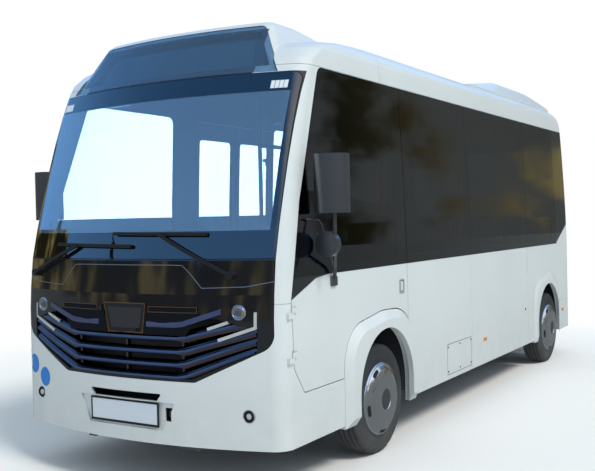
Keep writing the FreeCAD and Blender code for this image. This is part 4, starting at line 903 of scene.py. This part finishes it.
badgeOuter = grown(badge["corners"], badge["border"])
addFrame("badge_frame", badgeOuter, 0.007, -0.0028, 0.005, "goldTrim", flatPoint)
addPlate("badge_back", badgeOuter, -0.0005, 0.002, "blackPlastic", flatPoint)
addPlate("badge_plate", badge["corners"], -0.0020, 0.003, "badgeGrey", flatPoint, 0.001)
for sign, label in sides:
    slot, gap = ([(sign * x, z) for x, z in badge[key]] for key in ("slot", "gap"))
    addFrame("grille_slot_trim_" + label, slot, 0.0045, -0.0012, 0.005, "goldTrim")
    addPlate("grille_slot_" + label, slot, -0.0004, 0.002, "gapBlack", platePoint)
    addPlate("grille_gap_" + label, gap, -0.0010, 0.0006, "gapBlack", platePoint)


# Faces of the louvres: height in the middle, then x and height where the sweep ends
louvres = {"rows": ((1.022, 0.700, 1.107), (0.938, 0.885, 1.045), (0.857, 0.900, 0.988),
                    (0.780, 0.900, 0.937), (0.704, 0.890, 0.878)), "bend": 0.430,
           "middle": (0.014, -0.008, -0.018), "wing": (0.020, -0.009, -0.028),  # top, split, lip
           "profile": ((0.018, 0), (0, 1), (0.010, 2), (0.014, 2), (0.006, 1),
                       (0.022, 0)),  # depth, which height
           "start": 0, "nose": 0.0015, "deep": 1,
           "firstStart": 0.195, "firstNose": -0.0045, "firstDeep": 1 / 6}


def buildLouvre(bm, number, middleZ, endX, endZ):
    bend = louvres["bend"]
    keys = ("start", "nose", "deep") if number else ("firstStart", "firstNose", "firstDeep")
    start, nose, deep = (louvres[key] for key in keys)  # the first one lies flat on the mask beside the badge
    stations = ([start, bend * 0.5, bend - 0.035, bend + 0.02]
                + [bend + (endX - bend) * k / 4 for k in (1, 2, 3, 4)])
    for sign, label in sides:
        rings = []
        for x in stations:
            z = middleZ + max(0, x - bend) / (endX - bend) * (endZ - middleZ)
            heights = louvres["wing"] if x > bend and number else louvres["middle"]
            rings.append([Vector((sign * x, faceY(x) + nose + back * deep, z + heights[k]))
                          for back, k in louvres["profile"]])
        bridgeRings(bm, rings)


# the first louvre wears the painted sky reflection, the others the reflecting metal
for number, row in enumerate(louvres["rows"]):
    addPiece("louvre_face_%d" % number, lambda bm: buildLouvre(bm, number, *row), "body",
             "louvreGloss" if number else "louvreFront", False, 0.001)


# Headlamps and fog lamps: outer ring, reflector and domed lens
lamps = {"headlamp": (0.799, 1.099, 0.044, ("chrome", "chrome", "projectorGlass")),  # x, z, radius and looks
         "fog_lamp": (0.851, 0.500, 0.034, ("blackPlastic", "blackPlastic", "lampLens")), "stand": 0.0018,
         "bezel": (0.80, 1.03, 0.006), "reflector": (0.50, 0.82, 0.002),
         "lens": (0.54, 0.008)}  # radii, depth


def buildDome(bm, radius, depth, rings=8, segments=40):
    levels = [[Vector((radius * cos(rise) * cos(a), -depth * sin(rise), radius * cos(rise) * sin(a)))
               for a in turns(segments)] for rise in (radians(90 * k / rings) for k in range(rings))]
    bridgeRings(bm, levels + [[Vector((0, -depth, 0))] * segments], True, False)


def buildBezel(bm, inner, outer, depth, segments=48):
    wide = outer - inner
    rows = [(inner, 0), (inner + wide * 0.3, -depth), (inner + wide * 0.7, -depth), (outer, 0)]
    bridgeRound(bm, [[Vector((r * cos(a), y, r * sin(a))) for r, y in rows] for a in turns(segments)])


def buildLampPart(bm, kind, radius):
    *shares, depth = lamps[kind]
    (buildDome if kind == "lens" else buildBezel)(bm, *(radius * share for share in shares), depth)


for sign, label in sides:
    for lamp in ("headlamp", "fog_lamp"):
        x, z, radius, looks = lamps[lamp]
        spot = Matrix.Translation((sign * x, faceY(x) + lamps["stand"], z))
        for kind, look in zip(("bezel", "reflector", "lens"), looks):
            mesh = meshFrom(lamp + kind, lambda bm: buildLampPart(bm, kind, radius))
            mesh.transform(spot)
            addPiece("%s_%s_%s" % (lamp, kind, label), mesh, "body", look)


# Blank number plate in its frame
plate = {"halfWide": 0.265, "halfHigh": 0.064, "z": 0.476, "lap": 0.002, "wider": 0.010, "above": 0.008,
         "below": 0.012}
wide, wider = plate["halfWide"], plate["halfWide"] + plate["wider"]
top, low = plate["z"] + plate["halfHigh"], plate["z"] - plate["halfHigh"]
rim, foot = top + plate["above"], low - plate["below"]


def buildPlateFrame(bm):
    for bar in (((-wider, rim), (wider, rim), (wide, top - plate["lap"]), (-wide, top - plate["lap"])),
                ((-wide, low + plate["lap"]), (wide, low + plate["lap"]), (wider, foot), (-wider, foot)),
                ((-wider, rim), (-wide, top), (-wide, low), (-wider, foot)),
                ((wide, top), (wider, rim), (wider, foot), (wide, low))):
        facePlate(bm, bar, -0.002, 0.008, sheetPoint, 4, 1)


addPlate("number_plate", ((-wide, top), (wide, top), (wide, low), (-wide, low)), 0, 0.003,
             "plateGrey", sheetPoint)
addPiece("number_plate_frame", buildPlateFrame, "body", "blackPlastic", False)


# Marker lamps high on the windscreen: one row of small cells on each side
marker = {"x": (0.832, 0.938), "z": (2.427, 2.476), "cells": 4, "edge": 0.06}


def buildMarker(bm, sign):
    (x0, x1), (z0, z1) = marker["x"], marker["z"]
    for cell in range(marker["cells"]):
        a, b = (sign * (x0 + (x1 - x0) * (cell + k) / marker["cells"])
                for k in (marker["edge"], 1 - marker["edge"]))
        facePlate(bm, ((a, z1), (b, z1), (b, z0), (a, z0)), -0.0012, 0.001, facePoint, 2, 2)


for sign, label in sides:
    addPiece("marker_lamp_" + label, lambda bm: buildMarker(bm, sign), "body", "lightStrip",
             False)


# Thin edges of the service flap in the mask, in a pale blue-grey that is a painted highlight
flap = {"line": ((0.363, 1.374), (0.437, 1.372), (0.487, 1.330), (0.572, 1.239), (0.841, 1.248),
                 (1.005, 1.278)),
        "top": ((-0.363, 1.3765), (0.363, 1.3765), (0.363, 1.3720), (-0.363, 1.3720)), "half": 0.0022,
        "inset": -0.0006, "thick": 0.0012}


def buildFlapLine(bm, sign):
    corners = [Vector((sign * x, 0, z)) for x, z in flap["line"]]
    line = [a.lerp(b, k / 12) for a, b in zip(corners, corners[1:]) for k in range(12)] + corners[-1:]
    thick = Vector((0, flap["thick"], 0))
    rings = []
    for k, point in enumerate(line):
        step = (line[min(k + 1, len(line) - 1)] - line[max(k - 1, 0)]).normalized()
        across = Vector((-step.z, 0, step.x)) * flap["half"]
        first, last = (facePoint(p.x, p.z, flap["inset"]) for p in (point - across, point + across))
        rings.append([first, last, last + thick, first + thick])
    bridgeRings(bm, rings)


for sign, label in sides:
    addPiece("mask_flap_edge_" + label, lambda bm: buildFlapLine(bm, sign), "body",
             "flapEdge", False)
addPlate("mask_flap_top", flap["top"], flap["inset"], flap["thick"], "flapEdge")


# Blue discs low on the corner
discs = {"places": ((-0.951, 0.683, 0.064), (-0.802, 0.610, 0.064), (-1.050, 0.752, 0.036)), "edge": -1.057,
         "stand": 0.0008}


def cornerPoint(x, z):  # where the front turns round to the side
    hit, normal = hitFront(frontCast, x, z)
    return hit + normal * discs["stand"] if hit is not None else Vector((x, faceY(x), z))


def buildBlueDisc(bm, x, z, radius):
    bridgeRings(bm, [[cornerPoint(max(discs["edge"], x + r * radius * cos(a)), z + r * radius * sin(a))
                      for a in turns(40)] for r in (0, 0.5, 1)], True, False)


for number, disc in enumerate(discs["places"]):
    addPiece("blue_disc_%d" % number, lambda bm: buildBlueDisc(bm, *disc), "body",
             "stickerBlue")
print("stage: front details made")


# Side of the bus: markers, service flap, mirror stay, filler lock and door handle
flank = {"markers": ((3.545, 0.517), (6.19, 0.522)), "markerSize": (0.036, 0.014),
         "flap": (2.9225, 0.462, 0.2775, 0.125), "flapLine": 0.0035, "screwsAt": (2.665, 2.925, 3.18),
         "screwHeights": (0.562, 0.365), "screw": (0.008, 0.004), "lock": (4.772, 0.664, 0.013, 0.003),
         "stay": ((1.0655, 0.450, 1.630), (1.095, 0.548, 1.625), (1.108, 0.560, 1.600),
                  (1.190, 0.560, 1.345)),
         "stayRadius": 0.0055, "handle": (1.79, 1.13, 0.040, 0.052)}


def onSide(sign, distance, z, out=0):
    hit, normal = sideCasts[sign]((sign * 2, along(distance), z), (-sign, 0, 0))
    return hit + Vector((sign * out, 0, 0))


def sideStud(bm, sign, distance, z, radius, height, segments=16):
    bridgeRings(bm, [[onSide(sign, distance + r * radius * cos(a), z + r * radius * sin(a), out * height)
                      for a in turns(segments)] for r, out in ((1, -0.001), (1, 0.55), (0.8, 0.9), (0, 1))],
                True, False)


def sideTile(bm, sign, distance, z, halfWidth, halfHeight, height, radius):
    outline = roundedOutline(halfWidth, halfHeight, radius)
    bridgeRings(bm, [[onSide(sign, distance + u * scale, z + v * scale, out * height) for u, v in outline]
                     for scale, out in ((1, -0.001), (1, 0.6), (0.9, 1), (0.5, 1))])


def sideBorder(bm, distance, z, outlines, rise):  # raised line between an outer and an inner outline
    outer, inner = outlines
    bridgeRings(bm, [[onSide(1, distance + u, z + v, out) for u, v in outline] for outline, out in (
        (outer, -0.001), (outer, rise), (inner, rise), (inner, -0.001))], True, False)


for sign, label in sides:
    for number, (distance, z) in enumerate(flank["markers"]):
        addPiece("side_marker_%s_%d" % (label, number), lambda bm: sideTile(
            bm, sign, distance, z, *flank["markerSize"], 0.008, 0.006), "body", "amberLens")


def buildFlapFrame(bm):
    distance, z, halfWide, halfHigh = flank["flap"]
    sideBorder(bm, distance, z, [roundedOutline(halfWide - shrink, halfHigh - shrink, 0.012)
                                 for shrink in (0, flank["flapLine"])], 0.0005)


def buildStay(bm):
    tube(bm, [Vector((x, along(distance), z)) for x, distance, z in flank["stay"]], flank["stayRadius"])


def buildScrews(bm):
    for distance in flank["screwsAt"]:
        for z in flank["screwHeights"]:
            sideStud(bm, 1, distance, z, *flank["screw"])


def buildHandleFrame(bm):
    distance, z, halfWide, halfHigh = flank["handle"]
    outline = roundedOutline(halfWide, halfHigh, 0.014)
    sideBorder(bm, distance, z, [outline, [(u * 0.80, v * 0.80) for u, v in outline]], 0.006)


def handleTile(bm, back, wide, high, height):
    distance, z, halfWide, halfHigh = flank["handle"]
    sideTile(bm, 1, distance - back, z, halfWide * wide, halfHigh * high, height, 0.010)


addPiece("service_flap_edge", buildFlapFrame, "body", "seamDark")
addPiece("mirror_stay", buildStay, "driver_door", "mirrorShell")
addPiece("flap_screws", buildScrews, "body", "castIron")
addPiece("filler_lock", lambda bm: sideStud(bm, 1, *flank["lock"], 24), "body", "seamDark")
addPiece("door_handle_frame", buildHandleFrame, "driver_door", "lampLens")
addPiece("door_handle_cup", lambda bm: handleTile(bm, 0, 0.8, 0.8, 0.001), "driver_door",
         "blackPlastic")
addPiece("door_handle_pull", lambda bm: handleTile(bm, 0.006, 0.42, 0.7, 0.010), "driver_door",
         "bodyPaint")
print("stage: side details made")


# Destination display behind the sign glass, with slanted paler bands that are a painted reflection
display = {"panel": ((-0.560, 2.772), (0.685, 2.779), (0.734, 2.575), (-0.638, 2.568)), "back": 0.030,
           "lit": ((-0.357, 2.755), (0.618, 2.765), (0.667, 2.585), (-0.290, 2.585)), "behindGlass": 0.012,
           "dark": (0.026, 0.105, 0.150), "paintedReflection": (0.030, 0.120, 0.168)}


def signPoint(x, z, inset):
    hit, normal = hitFront(signCast, x, z)
    place = hit if hit is not None else Vector((x, frontY + 0.5, z))
    return place + Vector((0, display["behindGlass"] + inset, 0))


def makeDisplay(name):
    tree, shader = newMaterial(name)
    # slanted paler bands across the field: a painted reflection on the display
    slant = addNode(tree, "Mapping", Vector=objectPlace(tree), Rotation=(0, radians(38), 0))
    reflectionBands = addNode(tree, "TexWave", bands_direction="X", Vector=slant.outputs[0], Scale=9, Distortion=0.4)
    setInputs(shader, Base_Color=mix(tree, reflectionBands.outputs["Fac"], display["dark"], display["paintedReflection"]),
              Roughness=0.45)


makeDisplay("ledFieldPaintedReflection")
addPlate("sign_panel", display["panel"], display["back"], 0.006, "panelTeal", signPoint)
addPlate("sign_field", display["lit"], display["back"] - 0.004, 0.003, "ledFieldPaintedReflection", signPoint)
print("stage: sign display made")
